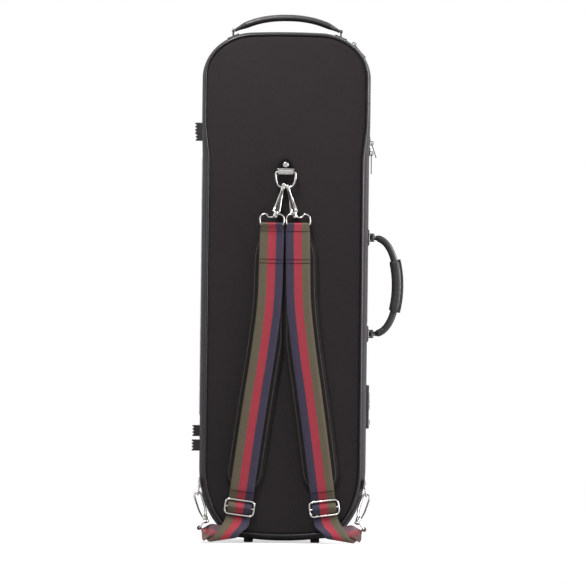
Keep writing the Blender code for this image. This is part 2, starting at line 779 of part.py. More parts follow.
def make_side_handle(root):
    """A leather tube in a half oval whose ends turn on upright pins in two brackets."""
    depth = HANDLE_TIP - GRIP_RADIUS - SIDE_HANDLE_X
    half = HANDLE_SPAN / 2
    path, radii = [], []
    for k in range(HANDLE_STEPS + 1):
        turn = math.pi * k / HANDLE_STEPS
        lift = math.cos(turn)
        path.append((SIDE_HANDLE_X + depth * math.sin(turn) ** 0.8, SIDE_HANDLE_Y, SIDE_HANDLE_Z - half * lift))
        in_grip = smooth((GRIP_HALF_SHARE - abs(lift)) / 0.12 + 0.5)
        radii.append(ARM_RADIUS + (GRIP_RADIUS - ARM_RADIUS) * in_grip)
    handle = add("side_handle", tube(path, radii, HANDLE_SIDES), "leather", root,
                 (SIDE_HANDLE_X, SIDE_HANDLE_Y, SIDE_HANDLE_Z))
    ear_reach = EYE_HEIGHT / 2 + CLEARANCE + BRACKET_EAR
    for word, side in (("lower", -1), ("upper", 1)):
        centre = (SIDE_HANDLE_X, SIDE_HANDLE_Y, SIDE_HANDLE_Z + side * half)
        sleeve = tube([(centre[0], centre[1], centre[2] - EYE_HEIGHT / 2),
                       (centre[0], centre[1], centre[2] + EYE_HEIGHT / 2)], EYE_RADIUS, ROUND_SIDES)
        combine(handle, "UNION", sleeve)
        bore = EYE_PIN_RADIUS + CLEARANCE
        hole = tube([(centre[0], centre[1], centre[2] - ARM_RADIUS - OVERRUN),
                     (centre[0], centre[1], centre[2] + ARM_RADIUS + OVERRUN)], bore, ROUND_SIDES)
        combine(handle, "DIFFERENCE", hole)
        trim = ARM_RADIUS + OVERRUN
        for face in (-1, 1):
            level = centre[2] + face * EYE_HEIGHT / 2
            far = level + face * trim
            low, high = min(level, far), max(level, far)
            reach = EYE_RADIUS + BRACKET_EAR
            combine(handle, "DIFFERENCE", box(
                (centre[0] - reach, centre[1] - trim, low), (centre[0] + reach, centre[1] + trim, high)))
        back = HALF_WIDTH + CLEARANCE
        front = SIDE_HANDLE_X + EYE_RADIUS * 0.75
        reach = ear_reach + BRACKET_MARGIN
        plate = box((back, centre[1] - BRACKET_WIDTH / 2, centre[2] - reach),
                    (back + BRACKET_THICKNESS, centre[1] + BRACKET_WIDTH / 2, centre[2] + reach))
        bracket = add(f"handle_bracket_{word}", plate, "black_metal", root, bevel=SMALL_BEVEL)
        for face in (-1, 1):
            inner = centre[2] + face * (EYE_HEIGHT / 2 + CLEARANCE)
            outer = centre[2] + face * ear_reach
            ear = box((back + BRACKET_THICKNESS / 2, centre[1] - BRACKET_EAR_WIDTH / 2, min(inner, outer)),
                      (front, centre[1] + BRACKET_EAR_WIDTH / 2, max(inner, outer)))
            combine(bracket, "UNION", ear)
        middle = EYE_HEIGHT / 2 + CLEARANCE + BRACKET_EAR / 2
        pin = tube([(centre[0], centre[1], centre[2] - middle), (centre[0], centre[1], centre[2] + middle)],
                   EYE_PIN_RADIUS, ROUND_SIDES)
        combine(bracket, "UNION", pin)


def make_top_handle(root):
    """A flat padded arch between two eyes that stand on the shoulders."""
    half = TOP_HANDLE_SPAN / 2
    seat = end_z(half, 1)
    axis_z = seat + TOP_STEM_HEIGHT
    inner_end = half - TOP_PIN_LENGTH
    path, sizes = [], []
    for k in range(TOP_HANDLE_STEPS + 1):
        share = 2 * k / TOP_HANDLE_STEPS - 1
        rise = (1 - abs(share) ** 3.2) * TOP_HANDLE_RISE
        path.append((inner_end * share, TOP_HANDLE_Y, axis_z + rise))
        full = smooth((1 - abs(share)) / 0.35)
        thick = TOP_HANDLE_END + (TOP_HANDLE_THICKNESS - TOP_HANDLE_END) * full
        wide = TOP_HANDLE_END + (TOP_HANDLE_WIDTH - TOP_HANDLE_END) * full
        sizes.append((thick / 2, wide / 2))
    handle = add("top_handle", tube(path, sizes, ROUND_SIDES), "leather", root, (0, TOP_HANDLE_Y, axis_z))
    for word, side in (("left", LEFT), ("right", RIGHT)):
        pin = tube([(side * (inner_end - TOP_PIN_LENGTH), TOP_HANDLE_Y, axis_z),
                    (side * (half + TOP_EYE_RADIUS), TOP_HANDLE_Y, axis_z)], TOP_PIN_RADIUS, FEW_SIDES)
        combine(handle, "UNION", pin)
        slope = (end_z(half + TOP_PLATE_LENGTH / 2, 1) - end_z(half - TOP_PLATE_LENGTH / 2, 1)) / TOP_PLATE_LENGTH
        length, thick = TOP_PLATE_LENGTH / 2, TOP_PLATE_THICKNESS
        base = seat + CLEARANCE + SHOULDER_BULGE
        outline = [(-length, -slope * length), (length, slope * length),
                   (length, slope * length + thick), (-length, -slope * length + thick)]
        plate = prism([(side * (half + x), base + z) for x, z in outline], "y",
                      TOP_HANDLE_Y - TOP_PLATE_WIDTH / 2, TOP_HANDLE_Y + TOP_PLATE_WIDTH / 2)
        stand = add(f"top_handle_plate_{word}", plate, "black_metal", root)
        stem = tube([(side * half, TOP_HANDLE_Y, base + thick / 2), (side * half, TOP_HANDLE_Y, axis_z)],
                    TOP_STEM_RADIUS, FEW_SIDES)
        combine(stand, "UNION", stem)
        eye = tube([(side * (half - TOP_STEM_RADIUS), TOP_HANDLE_Y, axis_z),
                    (side * (half + TOP_STEM_RADIUS), TOP_HANDLE_Y, axis_z)], TOP_EYE_RADIUS, ROUND_SIDES)
        combine(stand, "UNION", eye)
        bore = tube([(side * (half - TOP_PIN_LENGTH), TOP_HANDLE_Y, axis_z),
                     (side * (half + TOP_PIN_LENGTH), TOP_HANDLE_Y, axis_z)],
                    TOP_PIN_RADIUS + CLEARANCE, ROUND_SIDES)
        combine(stand, "DIFFERENCE", bore)


def make_lock(root):
    """A lock let into the shell, with three wheels on an axle, a push button and a tongue slot."""
    back = HALF_WIDTH + CLEARANCE
    half = LOCK_LENGTH / 2
    y0, y1 = LOCK_MIDDLE_Y - LOCK_WIDTH / 2, LOCK_MIDDLE_Y + LOCK_WIDTH / 2
    cover = prism(rounded((y0, LOCK_Z - half), (y1, LOCK_Z + half), LOCK_CORNER), "x", back, LOCK_TOP)
    body = add("lock_body", cover, "black_metal", root, bevel=SMALL_BEVEL)
    inner = box((HALF_WIDTH - LOCK_CASE_DEPTH, LOCK_CASE_Y - LOCK_CASE_WIDTH / 2, LOCK_Z - LOCK_CASE_LENGTH / 2),
                (back + LOCK_PROUD / 2, LOCK_CASE_Y + LOCK_CASE_WIDTH / 2, LOCK_Z + LOCK_CASE_LENGTH / 2))
    combine(body, "UNION", inner)
    span = WHEEL_PITCH * (WHEEL_COUNT - 1) + WHEEL_THICKNESS + 2 * CLEARANCE
    wheels_top = LOCK_Z + WHEEL_HIGH_OFFSET
    wheels_low = wheels_top - span
    y_wheel = LOCK_CASE_Y
    reach = WHEEL_RADIUS + CLEARANCE
    for k in range(WHEEL_COUNT):
        z = wheels_low + CLEARANCE + WHEEL_THICKNESS / 2 + k * WHEEL_PITCH
        gap = WHEEL_THICKNESS / 2 + CLEARANCE
        slot = tube([(WHEEL_X, y_wheel, z - gap), (WHEEL_X, y_wheel, z + gap)], reach, WHEEL_SIDES)
        combine(body, "DIFFERENCE", slot)
        add(f"lock_wheel_{k + 1}", ring_shape((WHEEL_X, y_wheel, z), (0, 0, 1), WHEEL_RADIUS,
            WHEEL_AXLE_RADIUS + CLEARANCE, WHEEL_THICKNESS, WHEEL_SIDES), "steel", root, (WHEEL_X, y_wheel, z))
    axle = tube([(WHEEL_X, y_wheel, wheels_low - OVERRUN), (WHEEL_X, y_wheel, wheels_top + OVERRUN)],
                WHEEL_AXLE_RADIUS, ROUND_SIDES)
    combine(body, "UNION", axle)
    button_z = LOCK_Z - BUTTON_LOW_OFFSET
    floor = LOCK_TOP - BUTTON_STEM
    well = tube([(floor - BUTTON_TRAVEL - CLEARANCE, LOCK_CASE_Y, button_z), (LOCK_TOP + OVERRUN, LOCK_CASE_Y, button_z)],
                BUTTON_RADIUS + CLEARANCE, ROUND_SIDES)
    combine(body, "DIFFERENCE", well)
    add("lock_button", tube([(floor, LOCK_CASE_Y, button_z), (LOCK_TOP + BUTTON_PROUD, LOCK_CASE_Y, button_z)],
        BUTTON_RADIUS, ROUND_SIDES), "steel", root, (floor, LOCK_CASE_Y, button_z))
    tongue_z = LOCK_Z - TONGUE_LOW_OFFSET
    tongue_low = HALF_WIDTH + (LOCK_PROUD - TONGUE_THICKNESS) / 2
    tongue_high = tongue_low + TONGUE_THICKNESS
    gap = TONGUE_CLEARANCE
    pocket = box((tongue_low - gap, y1 - TONGUE_REACH - gap, tongue_z - TONGUE_WIDTH / 2 - gap),
                 (tongue_high + gap, y1 + OVERRUN, tongue_z + TONGUE_WIDTH / 2 + gap))
    combine(body, "DIFFERENCE", pocket)
    near = LOCK_FRONT_GAP + OVERRUN
    plate = rounded((near, tongue_z - STRIKE_LENGTH / 2), (near + STRIKE_WIDTH, tongue_z + STRIKE_LENGTH / 2),
                    LOCK_CORNER)
    strike = add("lock_strike", prism(plate, "x", back, LOCK_TOP), "black_metal", root,
                 (HINGE_X, 0, HINGE_BOTTOM), bevel=SMALL_BEVEL)
    combine(strike, "UNION", box((tongue_low, y1 - TONGUE_REACH, tongue_z - TONGUE_WIDTH / 2),
                                 (tongue_high, near + OVERRUN, tongue_z + TONGUE_WIDTH / 2)))


def slider_shapes(length):
    """A zip slider and its pull, lying on a wall at x = 0 and hanging towards -z from z = 0."""
    low, high = CLEARANCE, CLEARANCE + SLIDER_THICKNESS
    nose = SLIDER_LENGTH / 2
    narrow = SLIDER_WIDTH * 0.3
    wide = SLIDER_WIDTH / 2
    plan = [(-narrow, -nose), (narrow, -nose), (wide, nose * 0.2), (wide, nose), (-wide, nose), (-wide, nose * 0.2)]
    body = prism([(y, z + SLIDER_SHIFT) for y, z in plan], "x", low, high)
    half, wire, top = BAIL_LENGTH / 2, BAIL_WIRE, high + BAIL_HEIGHT
    sink = high - SLIDER_THICKNESS / 2
    arch = [(sink, -half), (top - wire, -half), (top, -half + wire), (top, half - wire), (top - wire, half),
            (sink, half), (sink, half - wire), (top - wire, half - wire), (top - wire, -half + wire),
            (sink, -half + wire)]
    bail = prism([(x, z) for x, z in arch], "y", -BAIL_WIDTH / 2, BAIL_WIDTH / 2)
    bar_x = high + (BAIL_HEIGHT - BAIL_WIRE) / 2
    edge, neck, end = PULL_WIDTH / 2, PULL_END_WIDTH / 2, -length
    shoulder_z = -PULL_REACH - PULL_BAR
    plate = [(-edge, PULL_BAR / 2), (edge, PULL_BAR / 2), (edge, shoulder_z), (neck, shoulder_z * 1.6),
             (edge, end * 0.82), (neck, end), (-neck, end), (-edge, end * 0.82), (-neck, shoulder_z * 1.6),
             (-edge, shoulder_z)]
    pull = prism(plate, "x", bar_x - PULL_THICKNESS / 2, bar_x + PULL_THICKNESS / 2)
    hole = box((bar_x - PULL_THICKNESS, -PULL_HOLE / 2, -PULL_REACH), (bar_x + PULL_THICKNESS, PULL_HOLE / 2, -PULL_BAR / 2))
    return body, bail, pull, hole, bar_x


def place_slider(slider_name, pull_name, length, matrix, tilt_deg, root):
    """Puts a slider and its pull on a wall. The pull may start swung away from the wall."""
    body, bail, pull, hole, bar_x = slider_shapes(length)
    swing = (Matrix.Translation((bar_x, 0, 0)) @ Matrix.Rotation(math.radians(-tilt_deg), 4, "Y")
             @ Matrix.Translation((-bar_x, 0, 0)))
    slider = add(slider_name, moved(body, matrix), "steel", root, matrix.translation)
    combine(slider, "UNION", moved(bail, matrix))
    pivot = matrix @ Vector((bar_x, 0, 0))
    hung = add(pull_name, moved(pull, matrix @ swing), "steel", root, pivot)
    combine(hung, "DIFFERENCE", moved(hole, matrix @ swing))


def make_sliders(root):
    upper = up(SLIDER_SHARE)
    place_slider("zipper_slider_upper", "zipper_pull_upper", UPPER_PULL_LENGTH,
                 Matrix.Translation((HALF_WIDTH, 0, upper)), UPPER_PULL_TILT_DEG, root)
    place_slider("zipper_slider_lower", "zipper_pull_lower", LOWER_PULL_LENGTH,
                 Matrix.Translation((HALF_WIDTH, 0, upper - SLIDER_SPACING)), 0, root)
    turn = math.pi / 2 * POCKET_SLIDER_CORNER_SHARE
    x = HALF_WIDTH - TOP_CORNER_WIDTH + TOP_CORNER_WIDTH * math.cos(turn)
    z = BODY_TOP - TOP_CROWN - TOP_CORNER_HEIGHT + TOP_CORNER_HEIGHT * math.sin(turn)
    normal = Vector((TOP_CORNER_HEIGHT * math.cos(turn), 0, TOP_CORNER_WIDTH * math.sin(turn))).normalized()
    turned = Matrix.Rotation(-math.atan2(normal.z, normal.x), 4, "Y")
    seat = Vector((x, FRONT * POCKET_SLIDER_DEPTH_SHARE, z)) + normal * SHOULDER_BULGE
    place_slider("pocket_slider", "pocket_pull", POCKET_PULL_LENGTH, Matrix.Translation(seat) @ turned,
                 POCKET_PULL_TILT_DEG, root)


def ring_path():
    """A D-shaped ring: a straight bar on top and a rounded bow below."""
    half = RING_WIDTH / 2 - RING_WIRE
    drop = RING_HEIGHT - 2 * RING_WIRE
    top = up(ANCHOR_SHARE) - ANCHOR_HEIGHT / 2 - ANCHOR_ROLL / 2
    corner = half * 0.12
    points = [(-half + corner, top), (half - corner, top)]
    for k in range(13):
        turn = math.pi * k / 12
        points.append((half * math.cos(turn), top - corner - (drop - corner) * math.sin(turn)))
    return top, [(x, HOOK_Y, z) for x, z in points]


def make_anchor(root):
    bar_z, path = ring_path()
    add("anchor_ring", tube(path, RING_WIRE, FEW_SIDES, closed=True), "chrome", root, (0, HOOK_Y, bar_z))
    half = ANCHOR_WIDTH / 2
    z = up(ANCHOR_SHARE)
    low = z - ANCHOR_HEIGHT / 2
    outline = [(-half, bar_z), (half, bar_z)]
    outline += [(half * math.cos(t), low + ANCHOR_HEIGHT * math.sin(t)) for t in
                [math.pi * k / 10 for k in range(11)]]
    back = BACK - CLEARANCE
    tab = add("anchor_tab", prism(outline, "y", back - ANCHOR_THICKNESS, back), "leather", root)
    roll = tube([(-half, HOOK_Y, bar_z), (half, HOOK_Y, bar_z)], ANCHOR_ROLL, ROUND_SIDES)
    bore = tube([(-half - OVERRUN, HOOK_Y, bar_z), (half + OVERRUN, HOOK_Y, bar_z)], RING_WIRE + CLEARANCE, ROUND_SIDES)
    combine(tab, "UNION", roll)
    combine(tab, "DIFFERENCE", bore)


def hook_shapes(length, lean):
    """A snap hook in its own frame: barrel at the origin, tip up z, opening towards -y, eye along x.

    The eye stands off to one side of the barrel by the lean."""
    top = length
    spine = [(0.0, BARREL_LENGTH / 3), (HOOK_LOOP * 0.55, length * 0.22), (HOOK_LOOP * 0.95, length * 0.5),
             (HOOK_LOOP, length * 0.8)]
    crown = [(y, z) for y, z in arc((0, top), HOOK_LOOP, 0, 180, 6)]
    nose = [(-HOOK_LOOP, top - NOSE_LENGTH)]
    path = [(0, y, z) for y, z in spine + crown + nose]
    sizes = []
    for _, _, z in path:
        side = HOOK_BASE_HALF + (HOOK_TIP_HALF - HOOK_BASE_HALF) * smooth(z / (length * 0.85))
        sizes.append((HOOK_WIRE, side))
    sizes = [(side, wire) for wire, side in sizes]
    frame = tube(path, sizes, FEW_SIDES)
    collar = tube([(0, 0, -BARREL_LENGTH / 2), (0, 0, BARREL_LENGTH / 2)], BARREL_RADIUS, ROUND_SIDES)
    half = WEB_EYE_WIDTH / 2
    mid = -BARREL_LENGTH / 2 + WEB_EYE_WIRE
    drop = mid - WEB_EYE_DROP
    lobe = WEB_EYE_DROP / 2
    loop = [(half - lobe * 0.4 - lobe + lobe * math.cos(t), mid - lobe + lobe * math.sin(t)) for t in
            [math.radians(a) for a in (90, 55, 20)]]
    loop += [(half, drop + lobe * 0.3), (half - lobe * 0.3, drop)]
    right = [(0.0, mid), (half * 0.35, mid - WEB_EYE_WIRE)] + loop
    left = [(-x, z) for x, z in reversed(right[1:])]
    bowed = [right[0]] + [(x + lean, z) for x, z in right[1:] + left]
    eye = tube([(x, 0, z) for x, z in bowed], WEB_EYE_WIRE, FEW_SIDES, closed=True)
    gate_low = BARREL_LENGTH / 2 + CLEARANCE
    pivot_z = gate_low + GATE_WIRE * 1.6
    tip = top - NOSE_LENGTH - HOOK_WIRE * 0.3 - CLEARANCE
    gate_path = [(0, -HOOK_LOOP * 0.62, gate_low), (0, -HOOK_LOOP * 0.72, pivot_z), (0, -HOOK_LOOP, length * 0.45),
                 (0, -HOOK_LOOP, tip)]
    gate = tube(gate_path, [(GATE_WIRE * 0.9, GATE_WIRE * 0.6), (GATE_WIRE * 1.3, GATE_WIRE * 0.8),
                            (GATE_WIRE * 1.3, GATE_WIRE), (GATE_WIRE * 1.1, GATE_WIRE)], FEW_SIDES)
    return frame, collar, eye, gate, Vector((0, -HOOK_LOOP * 0.72, pivot_z)), drop


def place_hook(hook_name, gate_name, length, matrix, eye_matrix, lean, root):
    """Makes a hook and its gate, and returns the middle of the bar that the webbing goes round."""
    frame, collar, eye, gate, pivot, drop = hook_shapes(length, lean)
    hook = add(hook_name, moved(frame, matrix), "chrome", root, matrix.translation)
    combine(hook, "UNION", moved(collar, matrix), moved(eye, eye_matrix))
    add(gate_name, moved(gate, matrix), "chrome", root, matrix @ pivot)
    return eye_matrix @ Vector((lean, 0, drop))


def aimed(origin, tip, facing):
    """A frame at a point with z towards a tip and y as near as can be to a facing direction."""
    origin, tip = Vector(origin), Vector(tip)
    along = (tip - origin).normalized()
    across = Vector(facing).cross(along).normalized()
    rows = (across, along.cross(across), along)
    turn = Matrix((rows[0], rows[1], rows[2])).transposed().to_4x4()
    return Matrix.Translation(origin) @ turn


def upper_hook_frame(side):
    bar_z, path = ring_path()
    low = min(z for _, _, z in path)
    low -= HOOK_LOOP - HOOK_WIRE - RING_WIRE - 3 * PARTING_GAP
    tip = Vector((side * HOOK_SPREAD, HOOK_Y, low))
    sideways = BARREL_SPREAD - HOOK_SPREAD
    base_y = HOOK_Y + side * BARREL_TILT
    base = Vector((side * BARREL_SPREAD, base_y, low - math.sqrt(HOOK_LENGTH ** 2 - sideways ** 2)))
    return aimed(base, tip, (0, 1, 0))


def corner_ring_bar(side):
    """Middle of the corner ring's lower bar, on which the lower hook hangs."""
    z = up(CORNER_RING_SHARE)
    y = BACK * CORNER_RING_DEPTH_SHARE
    return Vector((side * (side_x(z, y) + CORNER_RING_OUT), y, z - CORNER_RING_DROP))


def lower_hook_frame(side):
    """The lower hook hangs on its ring, drawn in and back by the tail that it holds."""
    bar = corner_ring_bar(side)
    sag = HOOK_LOOP - HOOK_WIRE - ADJUSTER_WIRE - 2 * PARTING_GAP
    tip = bar - Vector((0, 0, sag))
    drop = math.sqrt(LOWER_HOOK_LENGTH ** 2 - LOWER_HOOK_LEAN ** 2 - LOWER_HOOK_FORWARD ** 2)
    return aimed(tip + Vector((-side * LOWER_HOOK_LEAN, -LOWER_HOOK_FORWARD, -drop)), tip, (-side, 0, 0))


def make_corner_ring(word, side, root):
    """A tab on the side wall with a bent wire ring standing off it."""
    z = up(CORNER_RING_SHARE)
    y = BACK * CORNER_RING_DEPTH_SHARE
    bar = corner_ring_bar(side)
    half = CORNER_RING_WIDTH / 2
    top = z - CORNER_TAB_HEIGHT / 4
    low, high = z - CORNER_TAB_HEIGHT / 2, z + CORNER_TAB_HEIGHT / 2
    seat_low, seat_top = seat_line(low, high, y + half)
    outline = [(seat_low, low), (seat_top, high), (seat_top + CORNER_TAB_THICKNESS, high),
               (seat_low + CORNER_TAB_THICKNESS, low)]
    tab = prism([(side * x, level) for x, level in outline], "y", y - half * 0.7, y + half * 0.7)
    obj = add(f"corner_ring_{word}", tab, "chrome", root)
    inner = Vector((side * (seat_top + CORNER_TAB_THICKNESS / 2), y, top))
    path = [(inner.x, y - half * 0.8, top), (bar.x, y - half, bar.z + half * 0.5), (bar.x, y - half * 0.7, bar.z),
            (bar.x, y + half * 0.7, bar.z), (bar.x, y + half, bar.z + half * 0.5), (inner.x, y + half * 0.8, top)]
    combine(obj, "UNION", tube(path, ADJUSTER_WIRE, FEW_SIDES, closed=True))


def strap_point(share, side, y=0.0):
    """Middle of a strap at a share of the way from its adjuster (0) up to the hook's eye (1)."""
    rows = list(zip(STRAP_HEIGHT_SHARES, STRAP_SIDE_SHARES))
    low = up(ADJUSTER_SHARE)
    high = upper_hook_frame(side).translation.z - BARREL_LENGTH / 2 - WEB_EYE_DROP
    return Vector((side * HALF_WIDTH * blend(rows, share), y, low + (high - low) * share))


def strap_direction(share, side):
    low_share, high_share = share - STRAP_STEP_SHARE, share + STRAP_STEP_SHARE
    return (strap_point(high_share, side) - strap_point(low_share, side)).normalized()


def band(stations, folded=()):
    """Webbing through (middle, direction across, direction out of its face), narrower where folded."""
    rings = []
    for k, (middle, across, out) in enumerate(stations):
        width = FOLDED_WIDTH if k in folded else WEBBING_WIDTH
        a, b = across * (width / 2), out * (WEBBING_THICKNESS / 2)
        rings.append([middle - a - b, middle + a - b, middle + a + b, middle - a + b])
    return loft(rings)


def fold(centre, along, out, across, start_deg, end_deg, radius):
    """Stations that carry a band round a bar. Degrees run from along towards out."""
    stations = []
    for k in range(FOLD_STEPS + 1):
        turn = math.radians(start_deg + (end_deg - start_deg) * k / FOLD_STEPS)
        away = along * math.cos(turn) + out * math.sin(turn)
        stations.append((centre + away * radius, across, away))
    return stations


PAD_BACK = BACK - CLEARANCE
PAD_FRONT = PAD_BACK - PAD_THICKNESS
WEBBING_Y = PAD_FRONT - CLEARANCE - WEBBING_THICKNESS / 2
ADJUSTER_Y = WEBBING_Y + WEBBING_THICKNESS
OUT = Vector((0, -1, 0))


def adjuster_frame(side):
    along = strap_direction(0.0, side)
    middle = strap_point(0.0, side, ADJUSTER_Y)
    across = along.cross(OUT)
    return middle, along, across


def make_adjuster(word, side, root):
    middle, along, across = adjuster_frame(side)
    half_w, half_h, corner = ADJUSTER_WIDTH / 2 - ADJUSTER_WIRE, ADJUSTER_HEIGHT / 2 - ADJUSTER_WIRE, ADJUSTER_CORNER
    points = []
    for sx, sz, first in ((1, 1, 0), (-1, 1, 90), (-1, -1, 180), (1, -1, 270)):
        points += arc((sx * (half_w - corner), sz * (half_h - corner)), corner, first, first + 90, 2)
    path = [middle + across * x + along * z for x, z in points]
    obj = add(f"adjuster_{word}", tube(path, ADJUSTER_WIRE, FEW_SIDES, closed=True), "chrome", root, middle)
    bar = tube([middle - across * half_w, middle + across * half_w], ADJUSTER_WIRE, FEW_SIDES)
    combine(obj, "UNION", bar)


def make_strap(word, side, eye, root):
    """Webbing from its fold round the hook's eye, over the pad and through the adjuster."""
    adjuster, along, across = adjuster_frame(side)
    gap = WEB_EYE_WIRE + CLEARANCE + WEBBING_THICKNESS / 2
    top_along = strap_direction(1.0, side)
    top_across = top_along.cross(OUT)
    stations = [(eye - top_along * FOLD_RUN - OUT * gap, top_across, -OUT)]
    stations += fold(eye, top_along, OUT, top_across, -90, 90, gap)
    flat_start = 1 - FOLD_RUN / (eye.z - adjuster.z)
    for share in (flat_start, *STRAP_HEIGHT_SHARES[1:-1]):
        stations.append((strap_point(share, side, WEBBING_Y), strap_direction(share, side).cross(OUT), OUT))
    half = ADJUSTER_HEIGHT / 2 - ADJUSTER_WIRE
    weave = ADJUSTER_WIRE + CLEARANCE + WEBBING_THICKNESS / 2
    for place, lift in ((half, -weave), (0, weave), (-half, -weave)):
        for lap in (ADJUSTER_LAP, -ADJUSTER_LAP):
            stations.append((adjuster + along * (place + lap) + OUT * lift, across, OUT))
    add(f"strap_{word}", band(stations, range(FOLD_STEPS + 2)), "webbing", root)
    return stations[-1]


def make_pad(word, side, root):
    """A padded strip under the webbing with a full body, drawn-in edges and tapered ends."""
    rings = []
    bottom, top = strap_point(PAD_BOTTOM_SHARE, side).z, strap_point(PAD_TOP_SHARE, side).z
    for k in range(PAD_STEPS + 1):
        way = (1 - math.cos(math.pi * k / PAD_STEPS)) / 2
        share = PAD_BOTTOM_SHARE + (PAD_TOP_SHARE - PAD_BOTTOM_SHARE) * way
        middle = strap_point(share, side)
        near_top = (top - middle.z) / PAD_TOP_TAPER
        near_bottom = (middle.z - bottom) / PAD_BOTTOM_TAPER
        taper = math.sqrt(1 - max(0.0, 1 - PAD_END_SHARE - min(near_top, near_bottom)) ** 2)
        across = strap_direction(share, side).cross(OUT)
        if across.x * side < 0:
            across = -across
        outer = PAD_WIDTH / 2 * taper
        inner = min(outer, abs(middle.x) / abs(across.x) - CLEARANCE)
        ring = []
        for s, t in PAD_SECTION_SHARES:
            size = outer if s > 0 else inner
            thick = PAD_THICKNESS * t * (PAD_EDGE_SHARE + (1 - PAD_EDGE_SHARE) * taper)
            ring.append(middle + across * (s * size) + Vector((0, PAD_BACK - thick, 0)))
        rings.append(ring)
    add(f"strap_pad_{word}", loft(rings), "soft_black", root)


def eased(a, b, leave, arrive, steps):
    """Points from a towards b on a cubic with the given directions at its ends; b itself is left out."""
    span = (b - a).length
    points = []
    for k in range(steps):
        t = k / steps
        points.append(a * (2 * t ** 3 - 3 * t * t + 1) + b * (3 * t * t - 2 * t ** 3)
                      + leave * (span * t * (1 - t) ** 2) - arrive * (span * t * t * (1 - t)))
    return points


def make_tail(word, side, start, eye, eye_across, eye_along, root):
    """The loose end: down from the adjuster, a U-turn on the floor, then twisting up to the lower eye."""
    begin, across, out = start
    down = across.cross(out).normalized()
    down *= -math.copysign(1, down.z)
    across = across * math.copysign(1, across.x * side)
    arriving = eye_across.cross(eye_along).normalized()
    arriving *= math.copysign(1, arriving.x * side)
    eye_across = eye_across * -math.copysign(1, eye_across.y)
    begin = begin + down * CLEARANCE * 3
    lead = begin + down * TAIL_LEAD
    end = eye - arriving * (WEB_EYE_WIRE + CLEARANCE * 2)
    tilt = math.radians(TAIL_FOLD_TILT_DEG)
    ruling = Vector((side * math.cos(tilt), 0, -math.sin(tilt)))
    low = FLOOR_LIFT + WEBBING_THICKNESS / 2 + WEBBING_WIDTH * 0.6 * math.sin(tilt)
    middle = Vector((begin.x + (end.x - begin.x) * TAIL_FOLD_SHARE,
                     begin.y - TAIL_FORWARD + TAIL_FOLD_RADIUS, low + TAIL_FOLD_RADIUS))
    turned = []
    for k in range(TAIL_STEPS + 1):
        turn = math.radians(TAIL_FOLD_TURN_DEG) * k / TAIL_STEPS
        turned.append(middle + Vector((side * TAIL_DRIFT * turn, -TAIL_FOLD_RADIUS * math.cos(turn),
                                       -TAIL_FOLD_RADIUS * math.sin(turn))))
    leaving = (turned[-1] - turned[-2]).normalized()
    place = turned[-1]
    twist = Vector([place[i] + (end[i] - place[i]) * TAIL_TWIST_PLACE_SHARES[i] for i in range(3)])
    twist_ruling = Vector((side * TAIL_TWIST_SHARES[0], *TAIL_TWIST_SHARES[1:])).normalized()
    through = (end - twist).normalized()
    falling = (turned[1] - turned[0]).normalized()
    legs = (
        ([begin], across, across),
        (eased(lead, turned[0], down, falling, TAIL_STEPS), across, ruling),
        (turned[:-1], ruling, ruling),
        (eased(place, twist, leaving, through, TAIL_STEPS), ruling, twist_ruling),
        (eased(twist, end, through, arriving, TAIL_STEPS), twist_ruling, eye_across),
        ([end], eye_across, eye_across),
    )
    stations = []
    for points, first, last in legs:
        for k, point in enumerate(points):
            stations.append((point, first.lerp(last, smooth(k / len(points))).normalized()))
    made = []
    for i, (point, wide) in enumerate(stations):
        slope = (stations[min(i + 1, len(stations) - 1)][0] - stations[max(i - 1, 0)][0]).normalized()
        face = slope.cross(wide)
        made.append((point, wide / max(face.length, TAIL_SKEW_SHARE), face.normalized()))
    turn = math.copysign(1, made[0][2].dot(out))
    made[:2] = [(begin, across, out * turn), (lead, across, out * turn)]
    points, faces = band(made, (len(made) - 1,))
    lifted = []
    for i, (x, y, z) in enumerate(points):
        over = WEBBING_THICKNESS * 0.6 if (i % 4 > 1) == (turn > 0) else 0
        lifted.append((x, y, max(z, FLOOR_LIFT + over)))
    add(f"strap_tail_{word}", (lifted, faces), "webbing", root)


def make_carrying(root):
    """Everything on the back that lets the case be worn: both sides are alike but mirrored."""
    make_anchor(root)
    for word, side in (("left", LEFT), ("right", RIGHT)):
        frame = upper_hook_frame(side)
        base = frame.translation
        eye_frame = aimed(base, base + strap_direction(1.0, side), (0, 1, 0))
        eye = place_hook(f"upper_hook_{word}", f"upper_gate_{word}", HOOK_LENGTH, frame, eye_frame,
                         WEB_EYE_LEAN * side * math.copysign(1, eye_frame.col[0].x), root)
        make_pad(word, side, root)
        make_adjuster(word, side, root)
        strap_end = make_strap(word, side, eye, root)
        make_corner_ring(word, side, root)
        bar = corner_ring_bar(side)
        frame = lower_hook_frame(side)
        base = frame.translation
        eye_frame = aimed(base, base + Vector((-side * LOWER_EYE_LEAN, 0, BARREL_LENGTH)), (-side, 0, 0))
        eye_frame = eye_frame @ Matrix.Rotation(math.radians(LOWER_EYE_TILT_DEG) * side, 4, "Y")
        low_eye = place_hook(f"lower_hook_{word}", f"lower_gate_{word}", LOWER_HOOK_LENGTH, frame, eye_frame,
                             0, root)
        make_tail(word, side, strap_end, low_eye, eye_frame.to_3x3().col[0], eye_frame.to_3x3().col[2], root)


